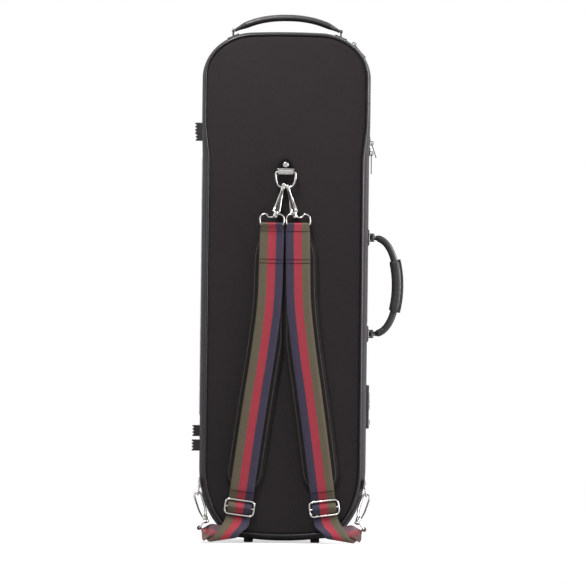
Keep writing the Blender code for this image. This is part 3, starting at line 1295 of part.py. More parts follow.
def violin_outline():
    """The violin-shaped pocket as (x, z): a smooth closed curve through the table of shares."""
    base = BODY_BOTTOM + WALL + VIOLIN_BASE
    right = [(w * VIOLIN_HALF_WIDTH, base + h * VIOLIN_LENGTH) for h, w in VIOLIN_SHARES]
    curve = [Vector(point) for point in right]
    points = [right[0]]
    for i in range(1, len(curve) - 1):
        before, a, b = curve[i - 1], curve[i], curve[i + 1]
        after = curve[min(i + 2, len(curve) - 1)]
        for k in range(VIOLIN_CURVE_STEPS):
            t = k / VIOLIN_CURVE_STEPS
            value = 0.5 * (2 * a + (b - before) * t + (2 * before - 5 * a + 4 * b - after) * t * t
                           + (3 * a - 3 * b + after - before) * t ** 3)
            points.append(tuple(value))
    points.append(right[-1])
    neck_top = up(NECK_CHANNEL_TOP_SHARE)
    points += [(NECK_HALF_WIDTH, right[-1][1]), (NECK_HALF_WIDTH, neck_top)]
    return points + [(-x, z) for x, z in reversed(points) if x]


def make_interior(root):
    floor = BACK + WALL + CLEARANCE
    rings = [
        outline_ring(floor, lambda z: back_inset(z) + WALL + LINING_GAP),
        outline_ring(LINING_TOP, lambda z: back_inset(z) * LINING_DROP / SHELL_DEPTH + WALL + LINING_GAP),
    ]
    lining = add("shell_lining", loft(rings), "plush", root)
    pocket_floor = floor + LINING_FLOOR
    above = LINING_TOP + OVERRUN
    combine(lining, "DIFFERENCE", prism(violin_outline(), "y", pocket_floor, above))
    low, high = BOX_BOTTOM, BOX_BOTTOM + BOX_LENGTH - 2 * BOX_LID_MARGIN
    combine(lining, "DIFFERENCE", box((-BOX_HALF_WIDTH, pocket_floor, low), (BOX_HALF_WIDTH, above, high)))
    for side in (LEFT, RIGHT):
        near = side * (NECK_HALF_WIDTH + WELL_HALF_GAP)
        far = side * (HALF_WIDTH - WALL - PANEL_INSET - WELL_OUTER_MARGIN)
        combine(lining, "DIFFERENCE", box((min(near, far), pocket_floor, up(WELL_BOTTOM_SHARE)),
                                          (max(near, far), above, up(WELL_TOP_SHARE))))
    half = BOX_HALF_WIDTH + BOX_LID_MARGIN
    lid_low = LINING_TOP + CLEARANCE
    add("accessory_lid", box((-half, lid_low, BOX_HINGE_Z), (half, lid_low + BOX_LID_THICKNESS, BOX_HINGE_Z + BOX_LENGTH)),
        "plush", root, (0, BOX_HINGE_Y, BOX_HINGE_Z), bevel=SMALL_BEVEL)
    z = up(CRADLE_SHARE)
    half = NECK_HALF_WIDTH - CLEARANCE
    top = LINING_TOP - CRADLE_TOP_DROP
    notch = arc((0, top), CRADLE_NOTCH, 0, -180, CRADLE_NOTCH_STEPS)
    outline = [(-half, pocket_floor + CLEARANCE), (half, pocket_floor + CLEARANCE), (half, top), *notch, (-half, top)]
    add("neck_cradle", prism(outline, "z", z - CRADLE_LENGTH / 2, z + CRADLE_LENGTH / 2), "plush", root)


def make_lid_interior(root):
    axis = (HINGE_X, 0, HINGE_BOTTOM)
    back = LID_FLOOR - CLEARANCE
    rings = [outline_ring(back, FRONT_INSET + WALL + CLEARANCE), outline_ring(LID_LINING_FACE, FRONT_INSET + WALL)]
    lining = add("lid_lining", loft(rings), "plush", root, axis)
    for word, side in (("left", LEFT), ("right", RIGHT)):
        x, z = side * BOW_OFFSET, up(SLEEVE_SHARE)
        combine(lining, "UNION", box(
            (x - SLEEVE_WIDTH / 2, LID_LINING_FACE - SLEEVE_THICKNESS, z - SLEEVE_HEIGHT / 2),
            (x + SLEEVE_WIDTH / 2, LID_LINING_FACE + LID_LINING_THICKNESS / 2, z + SLEEVE_HEIGHT / 2)))
        z = up(TOGGLE_SHARE)
        post_end = LID_LINING_FACE - CLEARANCE
        tip = post_end - TOGGLE_POST
        arm = box((x - TOGGLE_LENGTH / 2, tip, z - TOGGLE_WIDTH / 2),
                  (x + TOGGLE_LENGTH / 2, tip + TOGGLE_THICKNESS, z + TOGGLE_WIDTH / 2))
        toggle = add(f"bow_toggle_{word}", arm, "plastic", root, (x, post_end, z), bevel=SOFT_BEVEL)
        combine(toggle, "UNION", tube([(x, tip + TOGGLE_THICKNESS / 2, z), (x, post_end, z)],
                                      TOGGLE_POST_RADIUS, ROUND_SIDES))


def make_pocket(root):
    """A padded music pocket on the lid, fullest in its middle."""
    rings = []
    for depth_share, inset_share in POCKET_CROWN_SHARES:
        y = FRONT + PIPING_RADIUS + CLEARANCE + POCKET_THICKNESS * depth_share
        rings.append(outline_ring(y, POCKET_INSET + POCKET_CROWN_INSET * inset_share))
    rings[0] = outline_ring(FRONT + CLEARANCE, POCKET_INSET)
    add("music_pocket", loft(rings), "canvas", root, (HINGE_X, 0, HINGE_BOTTOM))


def centre_on_origin(root):
    """Moves the root so that the origin lies under the middle of everything's box."""
    bpy.context.view_layer.update()
    graph = bpy.context.evaluated_depsgraph_get()
    corners = []
    for obj in bpy.data.objects:
        if obj.type == "MESH" and not obj.hide_render:
            evaluated = obj.evaluated_get(graph)
            corners += [evaluated.matrix_world @ Vector(corner) for corner in evaluated.bound_box]
    for axis in range(2):
        values = [corner[axis] for corner in corners]
        root.location[axis] = -(min(values) + max(values)) / 2


def main():
    clear_scene()
    root = bpy.data.objects.new("case_frame", None)
    bpy.context.scene.collection.objects.link(root)
    make_shells(root)
    make_hinge(root)
    make_feet(root)
    make_side_handle(root)
    make_top_handle(root)
    make_lock(root)
    make_sliders(root)
    make_carrying(root)
    make_interior(root)
    make_lid_interior(root)
    make_pocket(root)
    centre_on_origin(root)


main()
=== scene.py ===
"""How the violin case looks: the smooth skins, webbing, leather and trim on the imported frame."""

import json
import math

import bmesh
import bpy
from mathutils import Matrix, Vector

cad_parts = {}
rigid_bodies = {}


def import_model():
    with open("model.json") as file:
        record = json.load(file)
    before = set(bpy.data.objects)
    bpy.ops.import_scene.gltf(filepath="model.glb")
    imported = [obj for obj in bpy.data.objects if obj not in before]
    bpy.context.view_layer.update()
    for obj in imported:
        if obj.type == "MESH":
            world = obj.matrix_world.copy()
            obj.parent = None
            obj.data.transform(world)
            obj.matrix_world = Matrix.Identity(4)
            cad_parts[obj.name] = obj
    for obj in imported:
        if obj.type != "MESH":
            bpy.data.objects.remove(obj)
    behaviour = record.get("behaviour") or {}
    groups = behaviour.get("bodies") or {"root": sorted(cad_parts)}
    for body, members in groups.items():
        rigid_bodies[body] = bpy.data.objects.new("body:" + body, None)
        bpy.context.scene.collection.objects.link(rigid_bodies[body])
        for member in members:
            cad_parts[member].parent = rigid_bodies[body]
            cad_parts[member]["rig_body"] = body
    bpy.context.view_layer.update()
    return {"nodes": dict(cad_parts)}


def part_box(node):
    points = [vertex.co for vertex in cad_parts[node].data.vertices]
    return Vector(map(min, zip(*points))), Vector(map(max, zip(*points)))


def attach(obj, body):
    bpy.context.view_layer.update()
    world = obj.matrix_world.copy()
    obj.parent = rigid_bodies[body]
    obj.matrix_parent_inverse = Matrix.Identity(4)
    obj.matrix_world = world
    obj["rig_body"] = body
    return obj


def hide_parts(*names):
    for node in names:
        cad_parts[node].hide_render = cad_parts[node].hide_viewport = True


# Case
CASE_WIDTH = 0.259
CASE_HEIGHT = 0.790
SHELL_DEPTH = 0.080
LID_DEPTH = 0.055
WALL = 0.007
END_FOOT_HEIGHT = 0.003
CLEARANCE = 0.0003
PARTING_GAP = 0.0004
OVERRUN = 0.002
TOP_CORNER_WIDTH = 0.080
TOP_CORNER_HEIGHT = 0.070
BOTTOM_CORNER_WIDTH = 0.067
BOTTOM_CORNER_HEIGHT = 0.110
TOP_CROWN = 0.001
BOTTOM_CROWN = 0.004
CORNER_STEPS = 26
EDGE_STEPS = 8
SEAT_STEPS = 16
SIDE_STEPS = 24
PANEL_INSET = 0.0095
SHOULDER_INSET = 0.0035
SHOULDER_BULGE = 0.0015
SHOULDER_SHARE = 0.785
SHOULDER_BLEND = 0.065
FRONT_INSET = 0.007
WALL_PROFILE_SHARES = ((0.02, 0.78), (0.10, 0.45), (0.24, 0.16), (0.45, 0.0))

# Piping, zip and hinge
PIPING_RADIUS = 0.0016
PIPING_GROOVE = 0.0014
RIM_BAND = 0.014
REBATE = 0.0026
TAPE_THICKNESS = 0.0012
TEETH_WIDTH = 0.0024
TAPE_END_GAP = 0.006
LEAF_THICKNESS = 0.0008
KNUCKLE_RADIUS = 0.0020
KNUCKLE_PITCH = 0.040
HINGE_KNUCKLES = 10
HINGE_BOTTOM_SHARE = 0.245

# Side handle
HANDLE_SHARE = 0.504
HANDLE_SPAN = 0.150
HANDLE_REACH = 0.0545
HANDLE_DEPTH_SHARE = 0.42
ARM_RADIUS = 0.0055
GRIP_RADIUS = 0.0085
GRIP_HALF_SHARE = 0.50
EYE_RADIUS = 0.0042
EYE_HEIGHT = 0.0080
EYE_PIN_RADIUS = 0.0016
BRACKET_THICKNESS = 0.0018
BRACKET_EAR = 0.0022
BRACKET_MARGIN = 0.006

# Top handle
TOP_HANDLE_SPAN = 0.168
TOP_HANDLE_RISE = 0.0185
TOP_HANDLE_THICKNESS = 0.009
TOP_HANDLE_WIDTH = 0.022
TOP_HANDLE_END = 0.005
TOP_HANDLE_DEPTH_SHARE = 0.40
TOP_STEM_RADIUS = 0.0017
TOP_STEM_HEIGHT = 0.0115
TOP_EYE_RADIUS = 0.0030
TOP_PIN_RADIUS = 0.0013

# Lock
LOCK_SHARE = 0.265
LOCK_WIDTH = 0.029
LOCK_PROUD = 0.0045
LOCK_CASE_LENGTH = 0.058
LOCK_CASE_WIDTH = 0.012
LOCK_CASE_DEPTH = 0.0045
LOCK_FRONT_GAP = 0.0035
WHEEL_RADIUS = 0.0052
WHEEL_THICKNESS = 0.0040
WHEEL_PITCH = 0.0078
WHEEL_COUNT = 3
WHEEL_HIGH_OFFSET = 0.018
WHEEL_AXLE_HEIGHT = 0.0008
TONGUE_LOW_OFFSET = 0.009
STRIKE_WIDTH = 0.020

# Anchor and upper hooks
ANCHOR_SHARE = 0.7395
ANCHOR_WIDTH = 0.026
ANCHOR_HEIGHT = 0.019
ANCHOR_THICKNESS = 0.005
RING_STANDOFF = 0.0082
RING_WIRE = 0.0016
RING_WIDTH = 0.034
RING_HEIGHT = 0.027
ANCHOR_ROLL = 0.0034
HOOK_LENGTH = 0.0425
HOOK_LOOP = 0.0055
HOOK_WIRE = 0.0017
HOOK_BASE_HALF = 0.0066
HOOK_TIP_HALF = 0.0026
HOOK_SPREAD = 0.0040
BARREL_RADIUS = 0.0042
BARREL_LENGTH = 0.010
BARREL_SPREAD = 0.0150
BARREL_TILT = 0.0019
GATE_WIRE = 0.0013
NOSE_LENGTH = 0.004
WEB_EYE_WIDTH = 0.0372
WEB_EYE_LEAN = 0.0052
FOLDED_WIDTH = 0.031
WEB_EYE_DROP = 0.0125
WEB_EYE_WIRE = 0.0013

# Straps and pads
WEBBING_WIDTH = 0.038
WEBBING_THICKNESS = 0.0018
STRAP_HEIGHT_SHARES = (1.0, 0.862, 0.732, 0.565, 0.398, 0.230, 0.063, -0.065)
STRAP_SIDE_SHARES = (0.152, 0.163, 0.170, 0.236, 0.322, 0.402, 0.478, 0.536)
PAD_WIDTH = 0.058
PAD_THICKNESS = 0.0070
PAD_TOP_SHARE = 0.975
PAD_BOTTOM_SHARE = 0.066
PAD_TOP_TAPER = 0.052
PAD_BOTTOM_TAPER = 0.030
PAD_END_SHARE = 0.12
PAD_EDGE_SHARE = 0.45
STRAP_STEP_SHARE = 0.035
ADJUSTER_SHARE = 0.0660
ADJUSTER_WIDTH = 0.048
ADJUSTER_HEIGHT = 0.026
ADJUSTER_WIRE = 0.0015
ADJUSTER_CORNER = 0.006
ADJUSTER_LAP = 0.0022

# Strap tails
TAIL_STEPS = 4
TAIL_LEAD = 0.004
TAIL_FORWARD = 0.0185
TAIL_FOLD_RADIUS = 0.0055
TAIL_FOLD_SHARE = 0.32
TAIL_FOLD_TILT_DEG = 9.0
TAIL_FOLD_TURN_DEG = 165.0
TAIL_DRIFT = 0.0032
TAIL_SKEW_SHARE = 0.88
TAIL_TWIST_PLACE_SHARES = (0.58, 0.30, 0.60)
TAIL_TWIST_SHARES = (0.40, -0.62, -0.66)
FOLD_STEPS = 6
FOLD_RUN = 0.011

# Corner rings and lower hooks
CORNER_RING_SHARE = 0.114
CORNER_RING_DEPTH_SHARE = 0.84
CORNER_RING_WIDTH = 0.020
CORNER_RING_DROP = 0.019
CORNER_RING_OUT = 0.0064
CORNER_TAB_HEIGHT = 0.016
CORNER_TAB_THICKNESS = 0.0025
LOWER_HOOK_LENGTH = 0.041
LOWER_HOOK_LEAN = 0.013
LOWER_HOOK_FORWARD = 0.012
LOWER_EYE_LEAN = 0.008
LOWER_EYE_TILT_DEG = 5.0

# Music pocket
POCKET_INSET = 0.022
POCKET_THICKNESS = 0.011
POCKET_CROWN_INSET = 0.024
POCKET_SLIDER_DEPTH_SHARE = 0.55

# Floor and outer planes
FLOOR_LIFT = 0.0006
BODY_BOTTOM = END_FOOT_HEIGHT
BODY_TOP = BODY_BOTTOM + CASE_HEIGHT
HALF_WIDTH = CASE_WIDTH / 2
BACK = -SHELL_DEPTH
FRONT = LID_DEPTH
RIM = PARTING_GAP / 2
RIGHT, LEFT = 1, -1


def up(share):
    """Height above the floor of a share of the case's height."""
    return BODY_BOTTOM + share * CASE_HEIGHT


def smooth(value):
    value = min(1.0, max(0.0, value))
    return value * value * (3 - 2 * value)


def blend(table, value):
    """Reads the line through (place, value) rows at a place."""
    rows = sorted(table)
    if value <= rows[0][0]:
        return rows[0][1]
    for (a, low), (b, high) in zip(rows, rows[1:]):
        if value <= b:
            return low + (high - low) * (value - a) / (b - a)
    return rows[-1][1]


def loft(rings, closed=False):
    """A skin through rings of points. Its ends are capped or, when closed, joined."""
    count = len(rings[0])
    points = [tuple(point) for ring in rings for point in ring]
    faces = []
    for k in range(len(rings) if closed else len(rings) - 1):
        a, b = k * count, (k + 1) % len(rings) * count
        for i in range(count):
            j = (i + 1) % count
            faces.append((a + i, a + j, b + j, b + i))
    if not closed:
        faces.append(tuple(range(count)))
        faces.append(tuple(range(len(points) - count, len(points))))
    return points, faces


def box(low, high):
    (x0, y0, z0), (x1, y1, z1) = low, high
    bottom = [(x0, y0, z0), (x1, y0, z0), (x1, y1, z0), (x0, y1, z0)]
    top = [(x0, y0, z1), (x1, y0, z1), (x1, y1, z1), (x0, y1, z1)]
    return loft([bottom, top])


def prism(outline, axis, start, end):
    """Extrudes a flat outline along x or y. Its points hold the other two values in order."""
    return loft([[(level, a, b) if axis == "x" else (a, level, b) for a, b in outline] for level in (start, end)])


def frames(path, closed):
    """For each point of a path: the point and two directions square to it, without twist."""
    path = [Vector(point) for point in path]
    count = len(path)
    tangents = []
    for i, point in enumerate(path):
        before = path[i - 1] if closed or i else point
        after = path[(i + 1) % count] if closed or i < count - 1 else point
        tangents.append((after - before).normalized())
    aside = tangents[0].orthogonal().normalized()
    if abs(tangents[0].y) < 0.9:
        aside = tangents[0].cross(Vector((0, 1, 0))).normalized()
    found = []
    for point, tangent in zip(path, tangents):
        aside = (aside - tangent * aside.dot(tangent)).normalized()
        found.append((point, aside, tangent.cross(aside)))
    return found


def tube(path, radius, sides, closed=False):
    """A round or, with (a, b) radii, an oval tube. The radius may be a list, one for each point."""
    radii = radius if isinstance(radius, list) else [radius] * len(path)
    rings = []
    for (point, aside, across), size in zip(frames(path, closed), radii):
        a, b = size if isinstance(size, tuple) else (size, size)
        turns = [2 * math.pi * (k + 0.5) / sides for k in range(sides)]
        rings.append([point + aside * (a * math.cos(t)) + across * (b * math.sin(t)) for t in turns])
    return loft(rings, closed)


def square_to(axis):
    """An axis of length 1 and two directions square to it."""
    axis = Vector(axis).normalized()
    aside = axis.orthogonal().normalized()
    return axis, aside, axis.cross(aside)


def ring_shape(centre, axis, outer, inner, length, sides):
    """A short hollow cylinder centred at a point."""
    axis, aside, across = square_to(axis)
    rings = []
    for k in range(sides):
        turn = 2 * math.pi * (k + 0.5) / sides
        out = aside * math.cos(turn) + across * math.sin(turn)
        section = ((outer, -1), (outer, 1), (inner, 1), (inner, -1))
        rings.append([Vector(centre) + out * r + axis * (side * length / 2) for r, side in section])
    return loft(rings, closed=True)


def rounded(low, high, radius, steps):
    """The outline of a rectangle with round corners."""
    (a0, b0), (a1, b1) = low, high
    corners = ((a1, b1, -1, -1, 0), (a0, b1, 1, -1, 90), (a0, b0, 1, 1, 180), (a1, b0, -1, 1, 270))
    points = []
    for a, b, inward_a, inward_b, first in corners:
        points += arc((a + inward_a * radius, b + inward_b * radius), radius, first, first + 90, steps)
    return points


def arc(centre, radius, start_deg, end_deg, steps):
    turns = [math.radians(start_deg + (end_deg - start_deg) * k / steps) for k in range(steps + 1)]
    return [(centre[0] + radius * math.cos(t), centre[1] + radius * math.sin(t)) for t in turns]


def moved(shape, matrix):
    points, faces = shape
    return [tuple(matrix @ Vector(point)) for point in points], faces


def half_outline():
    """The right half of the outline from the bottom's middle to the top's middle, as (x, z)."""
    bottom_flat = HALF_WIDTH - BOTTOM_CORNER_WIDTH
    top_flat = HALF_WIDTH - TOP_CORNER_WIDTH
    low = BODY_BOTTOM + BOTTOM_CROWN + BOTTOM_CORNER_HEIGHT
    high = BODY_TOP - TOP_CROWN - TOP_CORNER_HEIGHT
    shares = [k / EDGE_STEPS for k in range(EDGE_STEPS + 1)]
    turns = [math.pi / 2 * k / CORNER_STEPS for k in range(CORNER_STEPS)]
    points = [(bottom_flat * share, BODY_BOTTOM + BOTTOM_CROWN * share * share) for share in shares[:-1]]
    points += [(bottom_flat + BOTTOM_CORNER_WIDTH * math.sin(turn), low - BOTTOM_CORNER_HEIGHT * math.cos(turn))
               for turn in turns]
    points += [(HALF_WIDTH, low + (high - low) * k / SIDE_STEPS) for k in range(SIDE_STEPS)]
    points += [(top_flat + TOP_CORNER_WIDTH * math.cos(turn), high + TOP_CORNER_HEIGHT * math.sin(turn))
               for turn in turns]
    points += [(top_flat * share, BODY_TOP - TOP_CROWN * share * share) for share in reversed(shares)]
    return points


def case_outline():
    """The whole outline with its outward directions: (x, z, outward x, outward z)."""
    right = half_outline()
    points = right + [(-x, z) for x, z in reversed(right[1:-1])]
    found = []
    for i, (x, z) in enumerate(points):
        (ax, az), (bx, bz) = points[i - 1], points[(i + 1) % len(points)]
        length = math.hypot(bx - ax, bz - az)
        found.append((x, z, (bz - az) / length, -(bx - ax) / length))
    return found


OUTLINE = case_outline()


def shoulder(z):
    """0 along the sides, 1 at the shoulders and the top, where the back panel is wider."""
    return smooth((z - up(SHOULDER_SHARE)) / SHOULDER_BLEND + 0.5)


def back_inset(z):
    return PANEL_INSET + (SHOULDER_INSET - PANEL_INSET) * shoulder(z)


def front_inset(z):
    return FRONT_INSET


def outline_ring(y, inset):
    """One ring of the case at a depth. The inset is a length, or a function of the height."""
    ring = []
    for x, z, out_x, out_z in OUTLINE:
        size = inset(z) if callable(inset) else inset
        ring.append((x - out_x * size, y, z - out_z * size))
    return ring


def wall_inset(y):
    """How far the bottom shell's straight side wall lies inside the outline at a depth."""
    share = (y - BACK - PIPING_GROOVE) / SHELL_DEPTH
    return PANEL_INSET * blend(((0, 1.0), *WALL_PROFILE_SHARES), share)


def side_x(z, y):
    """Half the bottom shell's width at a height and a depth."""
    right = half_outline()
    for (ax, az), (bx, bz) in zip(right, right[1:]):
        if az <= z <= bz and bz > az:
            return ax + (bx - ax) * (z - az) / (bz - az) - wall_inset(y)


def seat_line(low, high, y):
    """Ends of the straight line that a flat piece on the curved side wall rests along."""
    a, b = side_x(low, y), side_x(high, y)
    swell = 0.0
    for k in range(SEAT_STEPS + 1):
        share = k / SEAT_STEPS
        swell = max(swell, side_x(low + (high - low) * share, y) - a - (b - a) * share)
    return a + swell + CLEARANCE, b + swell + CLEARANCE


def top_z(x):
    """Height of the case's top edge at a distance from the centre line."""
    right = half_outline()[::-1]
    for (ax, az), (bx, bz) in zip(right, right[1:]):
        if ax <= x <= bx:
            return az + (bz - az) * (x - ax) / (bx - ax)


HINGE_BOTTOM = up(HINGE_BOTTOM_SHARE)
HINGE_X = -(HALF_WIDTH - REBATE) - CLEARANCE - KNUCKLE_RADIUS
BORE_RADIUS = KNUCKLE_RADIUS - LEAF_THICKNESS
SIDE_HANDLE_Z = up(HANDLE_SHARE)
SIDE_HANDLE_Y = BACK * HANDLE_DEPTH_SHARE
SIDE_HANDLE_X = HALF_WIDTH + BRACKET_THICKNESS + EYE_RADIUS + CLEARANCE * 2
TOP_HANDLE_Y = BACK * TOP_HANDLE_DEPTH_SHARE
LOCK_Z = up(LOCK_SHARE)
LOCK_TOP = HALF_WIDTH + LOCK_PROUD
LOCK_MIDDLE_Y = -LOCK_FRONT_GAP - LOCK_WIDTH / 2
LOCK_CASE_Y = -RIM_BAND - OVERRUN - LOCK_CASE_WIDTH / 2
WHEEL_X = HALF_WIDTH + WHEEL_AXLE_HEIGHT
HOOK_Y = BACK - RING_STANDOFF
HANDLE_TIP = HALF_WIDTH + HANDLE_REACH


def tape_path():
    """The outline's points from the hinge's foot round the open sides to the hinge's head."""
    low, high = HINGE_BOTTOM - TAPE_END_GAP, HINGE_BOTTOM + KNUCKLE_PITCH * HINGE_KNUCKLES + TAPE_END_GAP
    falling = sorted([row for row in OUTLINE if row[0] < 0], key=lambda row: -row[1])
    return [(-HALF_WIDTH, low, -1.0, 0.0), *(row for row in falling if row[1] < low),
            *(row for row in OUTLINE if row[0] >= 0), *(row for row in falling if row[1] > high),
            (-HALF_WIDTH, high, -1.0, 0.0)]


def ring_ends():
    """Heights of the anchor ring's bar and of its bow's lowest point."""
    top = up(ANCHOR_SHARE) - ANCHOR_HEIGHT / 2 - ANCHOR_ROLL / 2
    return top, top - (RING_HEIGHT - 2 * RING_WIRE)


def aimed(origin, tip, facing):
    """A frame at a point with z towards a tip and y as near as can be to a facing direction."""
    origin, tip = Vector(origin), Vector(tip)
    along = (tip - origin).normalized()
    across = Vector(facing).cross(along).normalized()
    turn = Matrix((across, along.cross(across), along)).transposed().to_4x4()
    return Matrix.Translation(origin) @ turn


def upper_hook_frame(side):
    low = ring_ends()[1] - (HOOK_LOOP - HOOK_WIRE - RING_WIRE - 3 * PARTING_GAP)
    drop = math.sqrt(HOOK_LENGTH ** 2 - (BARREL_SPREAD - HOOK_SPREAD) ** 2)
    base = (side * BARREL_SPREAD, HOOK_Y + side * BARREL_TILT, low - drop)
    return aimed(base, (side * HOOK_SPREAD, HOOK_Y, low), (0, 1, 0))


def corner_ring_bar(side):
    """Middle of the corner ring's lower bar, on which the lower hook hangs."""
    z, y = up(CORNER_RING_SHARE), BACK * CORNER_RING_DEPTH_SHARE
    return Vector((side * (side_x(z, y) + CORNER_RING_OUT), y, z - CORNER_RING_DROP))


def lower_hook_frame(side):
    """The lower hook hangs on its ring, drawn in and back by the tail that it holds."""
    bar = corner_ring_bar(side)
    sag = HOOK_LOOP - HOOK_WIRE - ADJUSTER_WIRE - 2 * PARTING_GAP
    tip = bar - Vector((0, 0, sag))
    drop = math.sqrt(LOWER_HOOK_LENGTH ** 2 - LOWER_HOOK_LEAN ** 2 - LOWER_HOOK_FORWARD ** 2)
    return aimed(tip + Vector((-side * LOWER_HOOK_LEAN, -LOWER_HOOK_FORWARD, -drop)), tip, (-side, 0, 0))


def strap_point(share, side, y=0.0):
    """Middle of a strap at a share of the way from its adjuster (0) up to the hook's eye (1)."""
    rows = list(zip(STRAP_HEIGHT_SHARES, STRAP_SIDE_SHARES))
    low = up(ADJUSTER_SHARE)
    high = upper_hook_frame(side).translation.z - BARREL_LENGTH / 2 - WEB_EYE_DROP
    return Vector((side * HALF_WIDTH * blend(rows, share), y, low + (high - low) * share))


def strap_direction(share, side):
    low_share, high_share = share - STRAP_STEP_SHARE, share + STRAP_STEP_SHARE
    return (strap_point(high_share, side) - strap_point(low_share, side)).normalized()


def fold(centre, along, out, across, start_deg, end_deg, radius):
    """Stations that carry a band round a bar. Degrees run from along towards out."""
    stations = []
    for k in range(FOLD_STEPS + 1):
        turn = math.radians(start_deg + (end_deg - start_deg) * k / FOLD_STEPS)
        away = along * math.cos(turn) + out * math.sin(turn)
        stations.append((centre + away * radius, across, away))
    return stations


PAD_BACK = BACK - CLEARANCE
PAD_FRONT = PAD_BACK - PAD_THICKNESS
WEBBING_Y = PAD_FRONT - CLEARANCE - WEBBING_THICKNESS / 2
ADJUSTER_Y = WEBBING_Y + WEBBING_THICKNESS
OUT = Vector((0, -1, 0))


def adjuster_frame(side):
    along = strap_direction(0.0, side)
    middle = strap_point(0.0, side, ADJUSTER_Y)
    across = along.cross(OUT)
    return middle, along, across


def eased(a, b, leave, arrive, steps):
    """Points from a towards b on a cubic with the given directions at its ends; b itself is left out."""
    span = (b - a).length
    points = []
    for k in range(steps):
        t = k / steps
        points.append(a * (2 * t ** 3 - 3 * t * t + 1) + b * (3 * t * t - 2 * t ** 3)
                      + leave * (span * t * (1 - t) ** 2) - arrive * (span * t * t * (1 - t)))
    return points


# The look's own sizes
FLAT_RINGS = 6
ROLL_STEPS = 12
ROLL_START = 0.02
ROLL_SPAN = 0.43
ROLL_POWER = 1.6
ROLL_SHARE = 0.78
EDGE_FALL = 2.3
EDGE_SEAM_SHARE = 0.055
SAFE_INSET = 0.034
LINING_THICKNESS = 0.0016
TOOTH_PITCH = 0.0026
TOOTH_HALF = 0.00075
TOOTH_HEIGHT = 0.00042
TOOTH_SINK = 0.0002
PAST_HINGE = 0.004
RIM_SEAM_STEP = 0.0035
TAPE_SEAM_STEP = 0.003
HANDLE_STEPS = 96
HANDLE_BLEND = 0.004
FIN_HALF = 0.0009
FIN_SINK = 0.002
FIN_RISE = 0.0026
FIN_SEAM_RISE = 0.0004
FIN_SEAM_OUT = 0.0011
ARCH_STEPS = 64
ARCH_SIDES = 28
ARCH_POWER = 2.3
ARCH_MORE_RISE = 0.0020
ARCH_MORE_THICKNESS = 0.0014
ARCH_TAPER_SHARE = 0.24
PAD_RINGS = 150
TAIL_LEG_STEPS = TAIL_STEPS * 4
PAD_BINDING_RADII = (0.00085, 0.0013)
PAD_BINDING_SHARE = 0.34
PAD_SEAM_INSET = 0.0042
CALMING_ROUNDS = 14
WRAP_STEPS = 20
WRAP_HALF_DEG = 165.0
CLASP_STEPS = 24
CLASP_HALF_DEG = 62.0
CLASP_HALF_THICKNESS = 0.0004
CLASP_RIB = 0.0002
ANCHOR_BAR_RADIUS = 0.0011
ANCHOR_SEAM_INSET = 0.0022
WINDOW_HALF_WIDTH = 0.0078
WINDOW_RISE = (-0.0035, 0.0215)
WINDOW_CORNER = 0.003
WINDOW_RADII = (0.0007, 0.0006)
LOCK_SCREW_RISE = (0.030, -0.0305)
STRIKE_SCREW_RISE = (-0.013, 0.013)
STRIKE_SCREW_FORWARD = 0.003
BRACKET_RIVET_HALF = 0.0075
BRACKET_RIVET_MARGIN = 0.0042
HINGE_RIVET_Y = 0.0095
DIGIT_SHARE = 0.992
WHEEL_RIB_RADIUS = 0.00034
WHEEL_RIB_SINK = 0.00018
WHEEL_RIB_HALF_SHARE = 0.42
STROKE_HALF_WIDTH = 0.0006
STROKE_HALF_HEIGHT = 0.00045
STROKE_RADIUS = 0.00016

# Share of the pocket's thickness and of its crown's inset, from its foot to its face
POCKET_CROWN = ((0.0, 0.02), (0.05, 0.0), (0.35, 0.0), (0.6, 0.05), (0.75, 0.12), (0.87, 0.24), (0.95, 0.42),
                (0.985, 0.65), (1.0, 1.0))
POCKET_BEAD_RADIUS = 0.0013
POCKET_ZIP_LIFT = 0.0002
POCKET_ZIP_SEAM = 0.0058
COIL_PITCH = 0.0018
COIL_RADIUS = 0.00045
# (across, out) places in metres of the pocket zip's tape and of one turn of its coil
POCKET_TAPE = ((-0.0075, -0.001), (-0.0075, 0.0002), (-0.0016, 0.0005), (0.0016, 0.0005), (0.0075, 0.0002),
               (0.0075, -0.001))
COIL_TURN = ((-0.0014, 0), (-0.00084, 0.0005), (0.00084, 0.0005), (0.0014, 0))

# Rivet and screw heads: radius, height, sides, rows and the depth of a dimple
HEADS = {
    "anchor": (0.0044, 0.0016, 28, 8, 0.0009),
    "pivot": (0.0031, 0.0013, 28, 8, 0.0006),
    "ring": (0.0026, 0.0011, 20, 6, 0.0),
    "hook": (0.0015, 0.0006, 16, 4, 0.0),
    "screw": (0.0017, 0.0017 * 0.35, 20, 4, 0.0),
    "bracket": (0.0019, 0.0008, 18, 5, 0.0),
    "hinge": (0.0018, 0.0007, 16, 4, 0.0),
}

SIDES = (("left", LEFT), ("right", RIGHT))
WEB_EYE_TOP = WEB_EYE_WIRE - BARREL_LENGTH / 2
WEB_EYE_BAR = WEB_EYE_TOP - WEB_EYE_DROP
WEB_EYE_GAP = WEB_EYE_WIRE + CLEARANCE + WEBBING_THICKNESS / 2
STRAP_SEAM_HEIGHTS = (0.4840, 0.4405, 0.4345, 0.0800)

